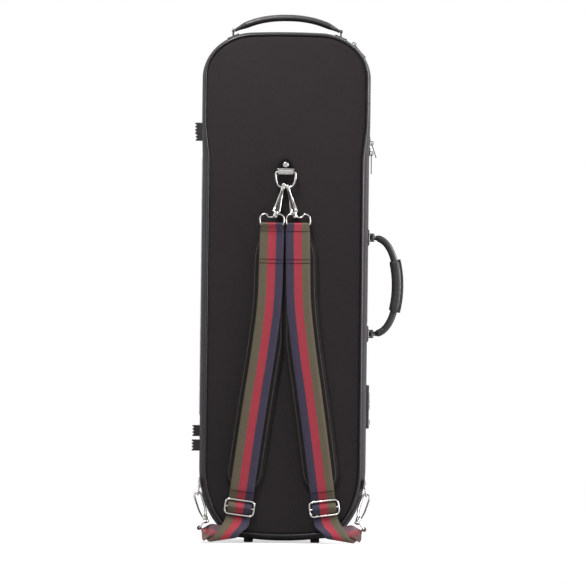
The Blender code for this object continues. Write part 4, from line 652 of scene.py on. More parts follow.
# Half sections, as shares of half the width and of the thickness, and the whole ones
HALF_WEBBING = ((-0.99, -0.35), (-0.99, 0.35), (-0.95, 0.92), (-0.7, 1.0), (-0.35, 1.0), (0.0, 1.0), (0.35, 1.0),
                (0.7, 1.0), (0.95, 0.92))
HALF_PAD = ((-0.97, 0.14), (-1.0, 0.30), (-0.99, 0.48), (-0.95, 0.66), (-0.88, 0.82), (-0.76, 0.93), (-0.66, 0.96),
            (-0.5, 0.965), (-0.25, 0.965), (0.0, 0.965))
WEBBING_SECTION = HALF_WEBBING + tuple((-s, -t) for s, t in HALF_WEBBING)
PAD_SECTION = HALF_PAD + tuple((-s, t) for s, t in HALF_PAD[-2::-1])

# Seams: pitch, stitched share of it, thread radius and depth in the cloth
SEAMS = {
    "edge": (0.0042, 0.62, 0.0003, 0.0001),
    "rim": (0.0042, 0.62, 0.0003, 0.00018),
    "zip": (0.0034, 0.60, 0.00028, 0.0),
    "grip": (0.0034, 0.72, 0.0005, 0.0),
    "arch": (0.0034, 0.62, 0.00034, 0.0),
    "webbing": (0.0028, 0.80, 0.0006, 0.0002),
    "pad": (0.0038, 0.60, 0.00055, 0.0002),
    "anchor": (0.0030, 0.62, 0.0003, 0.0),
    "pocket_zip": (0.0036, 0.62, 0.0003, 0.0),
    "pocket": (0.0040, 0.60, 0.00034, 0.0),
}

# Camera
LENS_SENSOR = 36.0
SCALE_WIDTH = 0.9090
VIEW_DISTANCE = 10.0
VIEW_X = 0.0135
VIEW_Z = 0.3886
VIEW_ROLL = -0.01134

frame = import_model()
NODES = frame["nodes"]


def middle_of(node):
    low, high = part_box(node)
    return (low + high) / 2


AT = Vector((middle_of("top_handle").x, middle_of("hinge_pin").y, 0))


# Finishes

class Nodes:
    """A small writer of shader node trees."""

    def __init__(self, owner):
        owner.use_nodes = True
        self.owner, self.tree = owner, owner.node_tree

    def put(self, value, socket):
        """Links an output to a socket, or sets the socket to a number, vector or colour."""
        if isinstance(value, bpy.types.NodeSocket):
            self.tree.links.new(value, socket)
        elif isinstance(value, tuple) and len(value) < len(socket.default_value):
            socket.default_value = (*value, 1.0)
        else:
            socket.default_value = value

    def add(self, kind, inputs, output=0, **settings):
        """Adds a node with settings and inputs, by name or number, and gives one of its outputs."""
        made = self.tree.nodes.new("ShaderNode" + kind)
        for key, value in settings.items():
            setattr(made, key, value)
        for key, value in inputs.items():
            self.put(value, made.inputs[key])
        return made.outputs[output]

    def coords(self, cloth=False, scale=(1, 1, 1)):
        """The object's own coordinates, or the ones laid along its cloth."""
        if cloth:
            source = self.add("Attribute", {}, "Vector", attribute_name="cloth")
        else:
            source = self.add("TexCoord", {}, "Object")
        return self.add("Mapping", {"Vector": source, "Scale": scale})

    def maths(self, operation, a, b=None, clamp=False):
        inputs = {0: a} if b is None else {0: a, 1: b}
        return self.add("Math", inputs, operation=operation, use_clamp=clamp)

    def weighed(self, *parts, clamp=False):
        """The sum of (value, weight) parts."""
        total = None
        for value, weight in parts:
            share = self.maths("MULTIPLY", value, weight)
            total = share if total is None else self.maths("ADD", total, share, clamp)
        return total

    def noise(self, vector, scale, detail=3.0, rough=0.5):
        return self.add("TexNoise", {"Vector": vector, "Scale": scale, "Detail": detail, "Roughness": rough}, "Fac")

    def cells(self, vector, scale, feature="F1"):
        return self.add("TexVoronoi", {"Vector": vector, "Scale": scale}, "Distance", feature=feature)

    def threads(self, vector, pitch, direction, distortion):
        """Bands that repeat at a pitch along X or Y."""
        inputs = {"Vector": vector, "Scale": 0.31416 / pitch, "Distortion": distortion}
        return self.add("TexWave", inputs, "Fac", wave_type="BANDS", bands_direction=direction)

    def ramp(self, value, *stops):
        colour = self.add("ValToRGB", {"Fac": value}, "Color")
        elements = colour.node.color_ramp.elements
        while len(elements) < len(stops):
            elements.new(0.5)
        for element, (place, shade) in zip(elements, stops):
            element.position, element.color = place, (*shade, 1.0)
        return colour

    def mix(self, factor, a, b, blend_type="MIX"):
        return self.add("Mix", {0: factor, 6: a, 7: b}, 2, data_type="RGBA", blend_type=blend_type)

    def range(self, value, low, high, start=0.0, stop=1.0):
        inputs = {"Value": value, "From Min": start, "From Max": stop, "To Min": low, "To Max": high}
        return self.add("MapRange", inputs)

    def bump(self, height, distance, strength=0.8):
        return self.add("Bump", {"Height": height, "Distance": distance, "Strength": strength})

    def finish(self, colour, rough, normal, **constants):
        sockets = {"Base Color": colour, "Roughness": rough, "Normal": normal}
        sockets.update({name.replace("_", " "): value for name, value in constants.items()})
        for name, value in sockets.items():
            self.put(value, self.tree.nodes["Principled BSDF"].inputs[name])
        return self.owner


def surface(name):
    return Nodes(bpy.data.materials.new(name))


def rgb(*values):
    """sRGB 0-255 to the renderer's linear colour."""
    return tuple(((v / 255 + 0.055) / 1.055) ** 2.4 if v > 10 else v / 255 / 12.92 for v in values)


def woven(name, dark, light, cloth=False, pitch=0.001, worn=0.25, rough=(0.72, 0.9)):
    """Plain-weave cloth: two crossed thread waves, slubs, faint shade changes and a worn lighter cast."""
    n = surface(name)
    at = n.coords(cloth)
    over, under = n.threads(at, pitch, "X", 0.6), n.threads(at, pitch, "Y", 0.6)
    checks = n.maths("ABSOLUTE", n.maths("SUBTRACT", over, under))
    slub = n.noise(n.coords(cloth, (1, 0.12, 1)), 900.0, 2.0)
    patch = n.noise(at, 9.0, 4.0, 0.6)
    shade = n.weighed((checks, 0.35), (slub, 0.4), (patch, worn), clamp=True)
    return n.finish(n.ramp(shade, (0.1, dark), (0.9, light)), n.range(patch, *rough),
                    n.bump(n.weighed((checks, 0.7), (slub, 0.5)), 0.00022),
                    Sheen_Weight=0.03, Sheen_Roughness=0.5, Specular_IOR_Level=0.12)


def grained(name, dark, light, rough, pitch, depth, coat=0.0, gloss=0.4):
    """Leather: cell grain with creases, finer pores, and rubbed lighter places."""
    n = surface(name)
    at = n.coords()
    cell = n.cells(at, 1 / pitch)
    crease = n.maths("MINIMUM", n.cells(at, 0.35 / pitch, "DISTANCE_TO_EDGE"), 0.12)
    pores = n.noise(at, 2600.0, 2.0)
    rubbed = n.noise(at, 26.0, 4.0, 0.6)
    height = n.weighed((cell, -0.7), (crease, 4.0), (pores, 0.25))
    shade = n.weighed((cell, 0.35), (rubbed, 0.6), clamp=True)
    return n.finish(n.ramp(shade, (0.2, light), (0.85, dark)), n.range(rubbed, *rough), n.bump(height, depth, 0.7),
                    Coat_Weight=coat, Coat_Roughness=0.2, Specular_IOR_Level=gloss)


def metal(name, colour, rough, brushed=(1, 1, 1), relief=0.35):
    """Polished, brushed or cast metal, with finger marks and fine scratches in the roughness."""
    n = surface(name)
    marks = n.noise(n.coords(), 60.0, 5.0, 0.65)
    lines = n.noise(n.coords(scale=brushed), 1400.0, 2.0)
    shade = n.ramp(n.weighed((marks, 0.7), (lines, 0.3)), (0.25, tuple(c * 0.6 for c in colour)), (0.62, colour))
    return n.finish(shade, n.range(n.weighed((marks, 0.6), (lines, 0.4)), *rough),
                    n.bump(n.weighed((lines, 0.6), (marks, 0.4)), 0.00004, relief), Metallic=1.0)


def moulded(name, dark, light, rough, scale=1500.0, depth=0.00006, metallic=0.0):
    """Moulded rubber, plastic or crackle paint: a fine spark-eroded texture and scuffs."""
    n = surface(name)
    fine = n.noise(n.coords(), scale, 3.0, 0.7)
    scuff = n.noise(n.coords(scale=(1, 1, 3)), 45.0, 5.0, 0.7)
    shade = n.ramp(n.weighed((fine, 0.5), (scuff, 0.5)), (0.3, dark), (0.7, light))
    return n.finish(shade, n.range(scuff, *rough), n.bump(fine, depth), Metallic=metallic)


def plush(name, dark, light):
    """Short-pile velvet: brushed patches, tiny pile bumps and a strong sheen."""
    n = surface(name)
    pile = n.noise(n.coords(), 2200.0, 2.0, 0.7)
    brushed = n.noise(n.coords(scale=(1, 1, 0.4)), 16.0, 4.0, 0.6)
    shade = n.ramp(n.weighed((pile, 0.35), (brushed, 0.65)), (0.3, dark), (0.72, light))
    return n.finish(shade, 0.95, n.bump(pile, 0.0003), Sheen_Weight=0.6, Sheen_Roughness=0.35)


def striped(name, navy, crimson, olive):
    """Shoulder webbing: three woven stripes, ribbed threads, bound edges and a paler washed inner face."""
    n = surface(name)
    own = n.add("Attribute", {}, "Vector", attribute_name="cloth")
    parts = n.add("SeparateXYZ", {0: own}).node.outputs
    scaled = n.coords(True, (WEBBING_WIDTH / 2, 1, 0))
    wander = n.maths("MULTIPLY", n.maths("SUBTRACT", n.noise(scaled, 320.0, 2.0), 0.5), 0.05)
    place = n.range(n.maths("ADD", parts[0], wander), 0, 1, start=-1.0)
    stripes = n.ramp(place, (0.0, tuple(c * 0.55 for c in navy)), (0.03, navy), (0.318, navy), (0.334, crimson),
                     (0.652, crimson), (0.668, olive), (0.965, olive), (0.99, tuple(c * 0.6 for c in olive)))
    twill = n.maths("MULTIPLY", n.threads(scaled, 0.0016, "Y", 1.2), n.threads(scaled, 0.0011, "X", 0.8))
    dust = n.noise(scaled, 70.0, 5.0, 0.7)
    fibre = n.noise(n.coords(True, (WEBBING_WIDTH / 2, 0.15, 0)), 3200.0, 2.0)
    shade = n.weighed((twill, 0.35), (fibre, 0.5), (dust, 0.35), clamp=True)
    tone = n.ramp(shade, (0.15, (0.55, 0.55, 0.55)), (0.85, (1.15, 1.15, 1.15)))
    worn, faded = n.mix(0.13, stripes, rgb(128, 118, 110)), n.mix(0.45, stripes, rgb(168, 130, 132))
    colour = n.mix(1.0, n.mix(parts[2], worn, faded), tone, "MULTIPLY")
    return n.finish(colour, n.range(dust, 0.7, 0.9), n.bump(n.weighed((twill, 1.0), (fibre, 0.5)), 0.00025),
                    Sheen_Weight=0.12, Sheen_Roughness=0.4, Specular_IOR_Level=0.3)


# Each finish: the record's material slot and the material
FINISHES = {
    "canvas": ("canvas", woven("canvas_weave", rgb(30, 27, 28), rgb(58, 53, 55), True, 0.00115)),
    # The side walls' copy of the canvas in lighter shades: painted light for the brighter lit walls
    "canvas_painted_light_side": ("canvas", woven(
        "canvas_painted_light_side_weave", rgb(40, 37, 39), rgb(74, 70, 73), True, 0.00115, rough=(0.6, 0.8))),
    "tape": ("canvas", woven("tape_weave", rgb(20, 19, 21), rgb(44, 42, 45), pitch=0.0009)),
    "pad": ("soft_black", woven("pad_weave", rgb(22, 20, 20), rgb(44, 40, 39), pitch=0.0016, worn=0.35)),
    "binding": ("soft_black", woven("binding_weave", rgb(16, 15, 16), rgb(38, 35, 35))),
    "thread": ("soft_black", woven("thread_twist", rgb(24, 22, 23), rgb(58, 54, 54), pitch=0.0005)),
    # Pale grey thread; on the side handle's fin its wide stitches are also a painted highlight along the seam
    "thread_light": ("leather", woven("thread_grey_and_painted_highlight_twist", rgb(70, 68, 66), rgb(132, 128, 122), pitch=0.0005)),
    "thread_dark": ("webbing", woven("thread_dark_twist", rgb(34, 10, 16), rgb(52, 22, 28), pitch=0.0005)),
    "piping": ("soft_black", grained(
        "piping_vinyl", rgb(16, 15, 16), rgb(34, 32, 34), (0.18, 0.32), 0.0016, 0.00006, 0.25)),
    "leather": ("leather", grained(
        "handle_leather", rgb(24, 23, 24), rgb(62, 60, 61), (0.32, 0.5), 0.0012, 0.00022, 0.12)),
    "patent": ("leather", grained(
        "anchor_leather", rgb(6, 6, 7), rgb(14, 13, 14), (0.14, 0.26), 0.002, 0.00006, gloss=0.14)),
    "webbing": ("webbing", striped("striped_webbing", rgb(50, 45, 76), rgb(188, 47, 70), rgb(105, 96, 75))),
    "chrome": ("chrome", metal("bright_chrome", (0.66, 0.65, 0.63), (0.08, 0.20))),
    "gunmetal": ("chrome", metal("dark_steel", (0.13, 0.125, 0.12), (0.20, 0.36), (1, 1, 0.2))),
    "steel": ("steel", metal("satin_steel", (0.40, 0.40, 0.41), (0.22, 0.40), (1, 1, 0.05))),
    "hinge_steel": ("steel", metal("hinge_steel", (0.50, 0.50, 0.51), (0.28, 0.46), (1, 1, 0.04))),
    "black_metal": ("black_metal", metal("black_metal", (0.10, 0.10, 0.105), (0.32, 0.5), relief=0.55)),
    "lock": ("black_metal", moulded(
        "lock_crackle", rgb(52, 51, 53), rgb(112, 110, 112), (0.35, 0.55), 900.0, 0.00012, 0.65)),
    "rubber": ("rubber", moulded("foot_rubber", rgb(20, 19, 20), rgb(44, 42, 43), (0.6, 0.8))),
    "plastic": ("plastic", moulded("black_plastic", rgb(18, 18, 19), rgb(36, 35, 36), (0.35, 0.55))),
    "digit": ("plastic", moulded("digit_paint", rgb(196, 194, 188), rgb(228, 226, 220), (0.4, 0.6))),
    "plush": ("plush", plush("crimson_plush", (0.060, 0.006, 0.014), (0.20, 0.022, 0.045))),
}


# Pieces

def rounded_edges(obj, width, segments=2, angle_deg=40):
    edge = obj.modifiers.new("edge", "BEVEL")
    edge.width, edge.segments, edge.angle_limit = width, segments, math.radians(angle_deg)
    return edge


def show(name, mesh, finish, body, node=None, place=(0, 0, 0), **edge):
    """A mesh as an object with its finish and rounded edges. It rides on a body and may replace a node."""
    slot, material = FINISHES[finish]
    mesh.materials.append(material)
    obj = bpy.data.objects.new(name, mesh)
    bpy.context.scene.collection.objects.link(obj)
    obj.location = place
    if edge:
        rounded_edges(obj, **edge)
    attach(obj, body)
    if node:
        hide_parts(node)
    return obj


def piece(name, shape, finish, body="case", node=None, cloth=None, angle=35, **edge):
    """An object from (points, faces) in the case's own frame."""
    mesh = bpy.data.meshes.new(name)
    mesh.from_pydata([tuple(point) for point in shape[0]], [], shape[1])
    if cloth:
        values = [value for row in cloth for value in row]
        mesh.attributes.new("cloth", "FLOAT_VECTOR", "POINT").data.foreach_set("vector", values)
    made = bmesh.new()
    made.from_mesh(mesh)
    bmesh.ops.recalc_face_normals(made, faces=made.faces)
    made.to_mesh(mesh)
    made.free()
    mesh.shade_smooth()
    mesh.set_sharp_from_angle(angle=math.radians(angle))
    return show(name, mesh, finish, body, node, AT, **edge)


def together(shapes):
    """Several shapes as one."""
    points, faces = [], []
    for more, rows in shapes:
        start = len(points)
        points += [tuple(point) for point in more]
        faces += [tuple(start + i for i in row) for row in rows]
    return points, faces


def dome(centre, axis, radius, height, sides, rows, dimple):
    """A rivet or screw head: a low dome, with a dimple in its middle if that isn't 0."""
    axis, aside, across = square_to(axis)
    rings = []
    for k in range(rows + 1):
        turn = math.pi / 2 * k / rows
        out, rise = radius * math.cos(turn), height * math.sin(turn)
        if k == rows:
            out = radius * 0.12
        if dimple and out < radius * 0.62:
            rise -= dimple * (1 - out / (radius * 0.62)) ** 0.5
        rings.append([Vector(centre) + axis * rise + (aside * math.cos(t) + across * math.sin(t)) * out
                      for t in [2 * math.pi * s / sides for s in range(sides)]])
    return loft(rings)


def studded(name, kind, places, axis, finish, body="case"):
    """A piece of rivet or screw heads of one kind at some places."""
    piece(name, together([dome(place, axis, *HEADS[kind]) for place in places]), finish, body)


def spaced(path, pitch, closed=False):
    """Points, tangents and outward directions at an even pitch along a path of (point, outward) rows."""
    rows = list(path) + ([path[0]] if closed else [])
    found, left = [], pitch / 2
    for (a, out_a), (b, out_b) in zip(rows, rows[1:]):
        length = (b - a).length
        if length < 1e-9:
            continue
        while left <= length:
            share = left / length
            found.append((a.lerp(b, share), (b - a) / length, out_a.lerp(out_b, share).normalized()))
            left += pitch
        left -= length
    return found


def sewn(name, lines, seam, finish, body="case", closed=False):
    """A piece of raised thread stitches along lines of (point, outward) rows."""
    pitch, share, radius, sink = SEAMS[seam]
    shapes = []
    for line in lines:
        for centre, along, out in spaced(line, pitch, closed):
            across = along.cross(out).normalized()
            rings = []
            for place, lift, size in ((-1, -0.4, 0.35), (-0.7, 0.45, 0.95), (0, 0.75, 1.0), (0.7, 0.45, 0.95),
                                      (1, -0.4, 0.35)):
                middle = centre + along * (pitch * share / 2 * place) + out * (radius * lift - sink)
                turns = [2 * math.pi * k / 6 for k in range(6)]
                rings.append([middle + across * (radius * size * math.cos(t))
                              + out * (radius * size * 0.8 * math.sin(t)) for t in turns])
            shapes.append(loft(rings))
    piece(name, together(shapes), finish, body)


def curve_through(rows, steps):
    """Rows of vectors made finer with a smooth curve through them. A row is (vector, vector, ...)."""
    found = []
    for i in range(len(rows) - 1):
        before, a, b, after = rows[max(i - 1, 0)], rows[i], rows[i + 1], rows[min(i + 2, len(rows) - 1)]
        for k in range(steps):
            t = k / steps
            found.append(tuple(
                0.5 * (2 * q + (r - p) * t + (2 * p - 5 * q + 4 * r - s) * t * t + (3 * q - 3 * r + s - p) * t ** 3)
                for p, q, r, s in zip(before, a, b, after)))
    found.append(tuple(rows[-1]))
    return found


def closed_curve(points, steps):
    """A smooth closed curve through points."""
    count = len(points)
    rows = [(Vector(points[i % count]),) for i in range(-2, count + 3)]
    fine = curve_through(rows, steps)
    return [row[0] for row in fine[2 * steps:(2 + count) * steps]]


# The case's two halves

def scaled_ring(y, size):
    """The outline drawn in towards the case's middle, for the inner part of a flat face."""
    middle = up(0.5)
    return [(x * size, y, middle + (z - middle) * size) for x, z, _, _ in OUTLINE]


def skin_rings(face, panel_inset):
    """Rings and cloth coordinates of one half, with a fuller roll at its edge than the CAD."""
    toward, depth = -math.copysign(1, face), abs(face)
    radius, groove, band = PIPING_RADIUS, PIPING_GROOVE, depth - RIM_BAND
    # Depth below the face, share of the panel's inset, more inset, and share of the shoulders' bulge
    rows = [(0.0, 1, 0.012, 0), (0.0, 1, radius + groove + 0.0016, 0), (0.0003, 1, radius + groove + 0.0004, 0),
            (groove * 0.9, 1, radius + groove * 0.5, 0), (groove * 1.6, 1, radius * 0.5, 0),
            (groove * 1.2, 1, -radius * 0.9, 0)]
    for k in range(ROLL_STEPS + 1):
        down = ROLL_START + ROLL_SPAN * (k / ROLL_STEPS) ** ROLL_POWER
        share = ROLL_SHARE * ((ROLL_START + ROLL_SPAN - down) / ROLL_SPAN) ** EDGE_FALL
        rows.append((groove + down * depth, share, 0, 1 - share))
    rows += [(band * 0.75, 0, 0, 0.5), (band * 0.97, 0, 0, 0), (band, 0, 0.0004, 0), (band, 0, REBATE, 0),
             (depth - RIM, 0, REBATE, 0), (depth - RIM, 0, WALL, 0), (WALL, 1, WALL, 0)]
    rings = [scaled_ring(face, 0.3), scaled_ring(face, 0.7)]
    for down, share, extra, bulge in rows:
        rings.append(outline_ring(face + toward * down, lambda z: (
            panel_inset(z) * share + extra - SHOULDER_BULGE * bulge * shoulder(z))))
    around = [0.0]
    for a, b in zip(OUTLINE, OUTLINE[1:]):
        around.append(around[-1] + math.hypot(b[0] - a[0], b[1] - a[1]))
    cloth = [(x, z, 0.0) if k < FLAT_RINGS else (around[i], y, 0.0)
             for k, ring in enumerate(rings) for i, (x, y, z) in enumerate(ring)]
    return rings, cloth


def seam_line(y, inset, tilt):
    """Rows of (point, outward) for a seam round the case, whose outward direction leans along y."""
    return [(Vector(point), Vector((out_x, tilt, out_z)).normalized())
            for point, (_, _, out_x, out_z) in zip(outline_ring(y, inset), OUTLINE)]


def cut_lock_opening(skin):
    """Cuts the place of the lock's case out of the shell's side wall, in the mesh itself."""
    half, wide = LOCK_CASE_LENGTH / 2 + CLEARANCE, LOCK_CASE_WIDTH / 2 + CLEARANCE
    low = (HALF_WIDTH - LOCK_CASE_DEPTH - CLEARANCE, LOCK_CASE_Y - wide, LOCK_Z - half)
    tool = piece("lock_opening", box(low, (HALF_WIDTH + OVERRUN, LOCK_CASE_Y + wide, LOCK_Z + half)), "canvas_painted_light_side")
    cut = skin.modifiers.new("lock_opening", "BOOLEAN")
    cut.operation, cut.solver, cut.object = "DIFFERENCE", "EXACT", tool
    bpy.context.view_layer.update()
    graph = bpy.context.evaluated_depsgraph_get()
    made = bpy.data.meshes.new_from_object(skin.evaluated_get(graph), depsgraph=graph)
    skin.modifiers.clear()
    skin.data = made
    bpy.data.objects.remove(tool, do_unlink=True)


def make_case():
    """Both skins, with a lighter copy of the canvas on the side walls as painted light, and their piping and seams."""
    for word, face, inset, body, node in (("shell", BACK, back_inset, "case", "bottom_shell"),
                                          ("lid", FRONT, front_inset, "lid", "lid_shell")):
        rings, cloth = skin_rings(face, inset)
        skin = piece(f"{word}_canvas", loft(rings), "canvas", body, node, cloth, 32)
        # The side walls get the lighter copy of the canvas: painted light on the walls
        skin.data.materials.append(FINISHES["canvas_painted_light_side"][1])
        for polygon in skin.data.polygons:
            if len(polygon.vertices) == 4 and min(polygon.vertices) >= (FLAT_RINGS - 1) * len(OUTLINE):
                polygon.material_index = 1
        if word == "shell":
            cut_lock_opening(skin)
        bead = tube(outline_ring(face, inset), PIPING_RADIUS, 12, closed=True)
        piece(f"{word}_piping", bead, "piping", body)
        out = math.copysign(1, face)
        edge = seam_line(face - out * (PIPING_GROOVE + EDGE_SEAM_SHARE * abs(face)),
                         lambda z: inset(z) * 0.60 - SHOULDER_BULGE * shoulder(z) * 0.4, out * 0.9)
        sewn(f"{word}_edge_stitches", [edge], "edge", "thread", body, closed=True)
        rim = seam_line(out * (RIM_BAND + RIM_SEAM_STEP), 0.0, 0.0)
        sewn(f"{word}_rim_stitches", [rim], "rim", "thread", body, closed=True)


def make_zipper():
    """Teeth on both tapes and a stitch line that sews each tape down."""
    past_hinge = HINGE_X + PAST_HINGE
    path = tape_path()
    for word, side, body in (("shell", -1, "case"), ("lid", 1, "lid")):
        rows = [(Vector((x, side * (RIM + TEETH_WIDTH / 2), z)), Vector((ox, 0, oz))) for x, z, ox, oz in path]
        reach = Vector((0, side * TEETH_WIDTH * 0.46, 0))
        teeth = []
        for centre, along, out in spaced(rows, TOOTH_PITCH):
            if centre.x < past_hinge:
                continue
            wide, base = along * TOOTH_HALF, centre - out * TOOTH_SINK
            corners = ((-1, -1), (1, -1), (1, 1), (-1, 1))
            low = [base + reach * a + wide * b for a, b in corners]
            top = [base + reach * (0.7 if a > 0 else -0.9) + wide * (0.6 * b) + out * TOOTH_HEIGHT
                   for a, b in corners]
            teeth.append(loft([low, top]))
        piece(f"zip_teeth_{word}", together(teeth), "plastic", body)
        deep = REBATE - CLEARANCE - TAPE_THICKNESS
        line = [(Vector((x - ox * deep, side * (RIM_BAND - TAPE_SEAM_STEP), z - oz * deep)), Vector((ox, 0, oz)))
                for x, z, ox, oz in path if x > past_hinge]
        sewn(f"zip_stitches_{word}", [line], "zip", "thread", body)


# Handles

def make_grips():
    """The side handle: leather arms, a thicker rolled grip with a sewn fin, and metal end eyes."""
    depth, half = HANDLE_TIP - GRIP_RADIUS - SIDE_HANDLE_X, HANDLE_SPAN / 2
    centres = []
    for k in range(HANDLE_STEPS + 1):
        turn = math.pi * k / HANDLE_STEPS
        centres.append(Vector((SIDE_HANDLE_X + depth * math.sin(turn) ** 0.8, SIDE_HANDLE_Y,
                               SIDE_HANDLE_Z - half * math.cos(turn))))
    ends = (centres[0], centres[-1])

    def from_eye(point):
        return min((point - end).length for end in ends)

    path = [point for point in centres if from_eye(point) > EYE_RADIUS * 0.7]
    clear = EYE_HEIGHT / 2 - CLEARANCE
    radii = [clear + (ARM_RADIUS - clear) * smooth((from_eye(point) - EYE_RADIUS - BRACKET_EAR) / HANDLE_BLEND)
             for point in path]
    grip = [point for point in path if abs(point.z - SIDE_HANDLE_Z) / half < GRIP_HALF_SHARE + 0.05]
    last = len(grip) - 1
    sizes = [GRIP_RADIUS * {0: 0.86, 1: 0.95}.get(min(k, last - k), 1.0) * (1 + 0.012 * math.sin(k * 1.7))
             for k in range(last + 1)]
    piece("side_handle_leather", together([tube(path, radii, 24), tube(grip, sizes, 28)]), "leather",
          "side_handle", "side_handle")
    fin, seam = [], []
    for k, point in enumerate(grip):
        slope = (grip[min(k + 1, last)] - grip[max(k - 1, 0)]).normalized()
        out = slope.cross(Vector((0, 1, 0)))
        out *= math.copysign(1, out.x)
        lean = (out * 0.86 + Vector((0, -0.5, 0))).normalized()
        across = lean.cross(slope).normalized()
        thick = across * FIN_HALF
        root, tip = point + lean * (GRIP_RADIUS - FIN_SINK), point + lean * (GRIP_RADIUS + FIN_RISE)
        fin.append([root - thick * 1.4, tip - thick, tip + thick * 0.2, tip + thick, root + thick * 1.4])
        front = -across if across.y > 0 else across
        seam.append((point + lean * (GRIP_RADIUS + FIN_SEAM_RISE) + front * FIN_SEAM_OUT, front))
    piece("side_handle_fin", loft(fin), "leather", "side_handle", width=0.0003)
    # The fin's seam in wide pale stitches: a painted highlight along the fin
    sewn("side_handle_stitches", [seam], "grip", "thread_light", "side_handle")
    eyes = [ring_shape(end, (0, 0, 1), EYE_RADIUS, EYE_PIN_RADIUS + CLEARANCE, EYE_HEIGHT, 28) for end in ends]
    piece("side_handle_eyes", together(eyes), "black_metal", "side_handle", width=0.0003)


def make_arch():
    """The top handle: a flat padded leather arch, its edges sewn, on two metal pins."""
    half = TOP_HANDLE_SPAN / 2
    axis_z = top_z(half) + TOP_STEM_HEIGHT
    inner_end = half - TOP_STEM_RADIUS - CLEARANCE * 2
    rings, lines = [], ([], [])
    for k in range(ARCH_STEPS + 1):
        share = 2 * k / ARCH_STEPS - 1
        rise = (1 - abs(share) ** ARCH_POWER) * (TOP_HANDLE_RISE + ARCH_MORE_RISE)
        centre = Vector((inner_end * share, TOP_HANDLE_Y, axis_z + rise))
        fall = ARCH_POWER * abs(share) ** (ARCH_POWER - 1) * math.copysign(1, share)
        slope = Vector((1, 0, -fall * TOP_HANDLE_RISE / inner_end)).normalized()
        up_way = Vector((-slope.z, 0, slope.x))
        full = smooth((1 - abs(share)) / ARCH_TAPER_SHARE)
        thick = TOP_HANDLE_END + (TOP_HANDLE_THICKNESS + ARCH_MORE_THICKNESS - TOP_HANDLE_END) * full
        wide = TOP_HANDLE_END + (TOP_HANDLE_WIDTH - TOP_HANDLE_END) * full
        section = []
        for s in range(ARCH_SIDES):
            turn = 2 * math.pi * s / ARCH_SIDES
            c, d = math.cos(turn), math.sin(turn)
            section.append(centre + Vector((0, wide / 2 * math.copysign(abs(c) ** 0.72, c), 0))
                           + up_way * (thick / 2 * math.copysign(abs(d) ** 0.9, d)))
        rings.append(section)
        if full > 0.35:
            for line, side in zip(lines, (1, -1)):
                line.append((centre + Vector((0, side * wide * 0.405, 0)) + up_way * thick * 0.345,
                             (up_way + Vector((0, side * 0.5, 0))).normalized()))
    piece("top_handle_leather", loft(rings), "leather", "top_handle", "top_handle")
    sewn("top_handle_stitches", lines, "arch", "thread_light", "top_handle")
    reach = (inner_end - 0.003, half + TOP_EYE_RADIUS)
    pins = [tube([Vector((side * x, TOP_HANDLE_Y, axis_z)) for x in reach], TOP_PIN_RADIUS, 20)
            for side in (LEFT, RIGHT)]
    piece("top_handle_pins", together(pins), "steel", "top_handle", width=0.0002)


# Straps

def strap_path(share, side, y=0.0):
    """The strap's middle, with the corners of its CAD route smoothed."""
    total = Vector((0, 0, 0))
    for k in range(-3, 4):
        total += strap_point(min(1.05, max(-0.1, share + k * 0.02)), side, y)
    return Vector((total.x / 7, y, strap_point(share, side).z))


def strap_across(share, side):
    """The direction across a strap, in the plane of the case's back."""
    way = strap_path(share + 0.03, side) - strap_path(share - 0.03, side)
    return way.normalized().cross(OUT)


def webbing(name, rows, side, node=None, floor=0):
    """A piece of webbing through (middle, across, out, width) rows. Floor is the face that lies up, if any."""
    rings, cloth, along = [], [], 0.0
    for k, (middle, across, out, width) in enumerate(rows):
        if k:
            along += (middle - rows[k - 1][0]).length
        turned = 1 if floor else math.copysign(1, across.x * side)
        ring = []
        for s, t in WEBBING_SECTION:
            point = middle + across * (s * width / 2) + out.normalized() * (t * WEBBING_THICKNESS / 2)
            if floor:
                point.z = max(point.z, FLOOR_LIFT + (0.3 if t * floor > 0 else 0.0) * WEBBING_THICKNESS)
            ring.append(point)
            cloth.append((s * turned, along, 1.0 if t < 0 else 0.0))
        rings.append(ring)
    if floor:
        for _ in range(CALMING_ROUNDS):
            calm = [[(a + b * 2 + c) / 4 for a, b, c in zip(*three)] for three in zip(rings, rings[1:], rings[2:])]
            rings = [rings[0], *calm, rings[-1]]
        for ring in rings:
            for point in ring:
                point.z = max(point.z, FLOOR_LIFT)
    piece(name, loft(rings), "webbing", "case", node, cloth, 60)


def crossing(z, side):
    """A line across the strap at a height, for a seam."""
    low, high = strap_point(0.0, side).z, strap_point(1.0, side).z
    share = (z - low) / (high - low)
    middle, across = strap_path(share, side, WEBBING_Y), strap_across(share, side)
    half = WEBBING_WIDTH / 2 * 0.94
    return [(middle + across * (half * s) + OUT * (WEBBING_THICKNESS / 2), OUT) for s in (-1, -0.5, 0, 0.5, 1)]


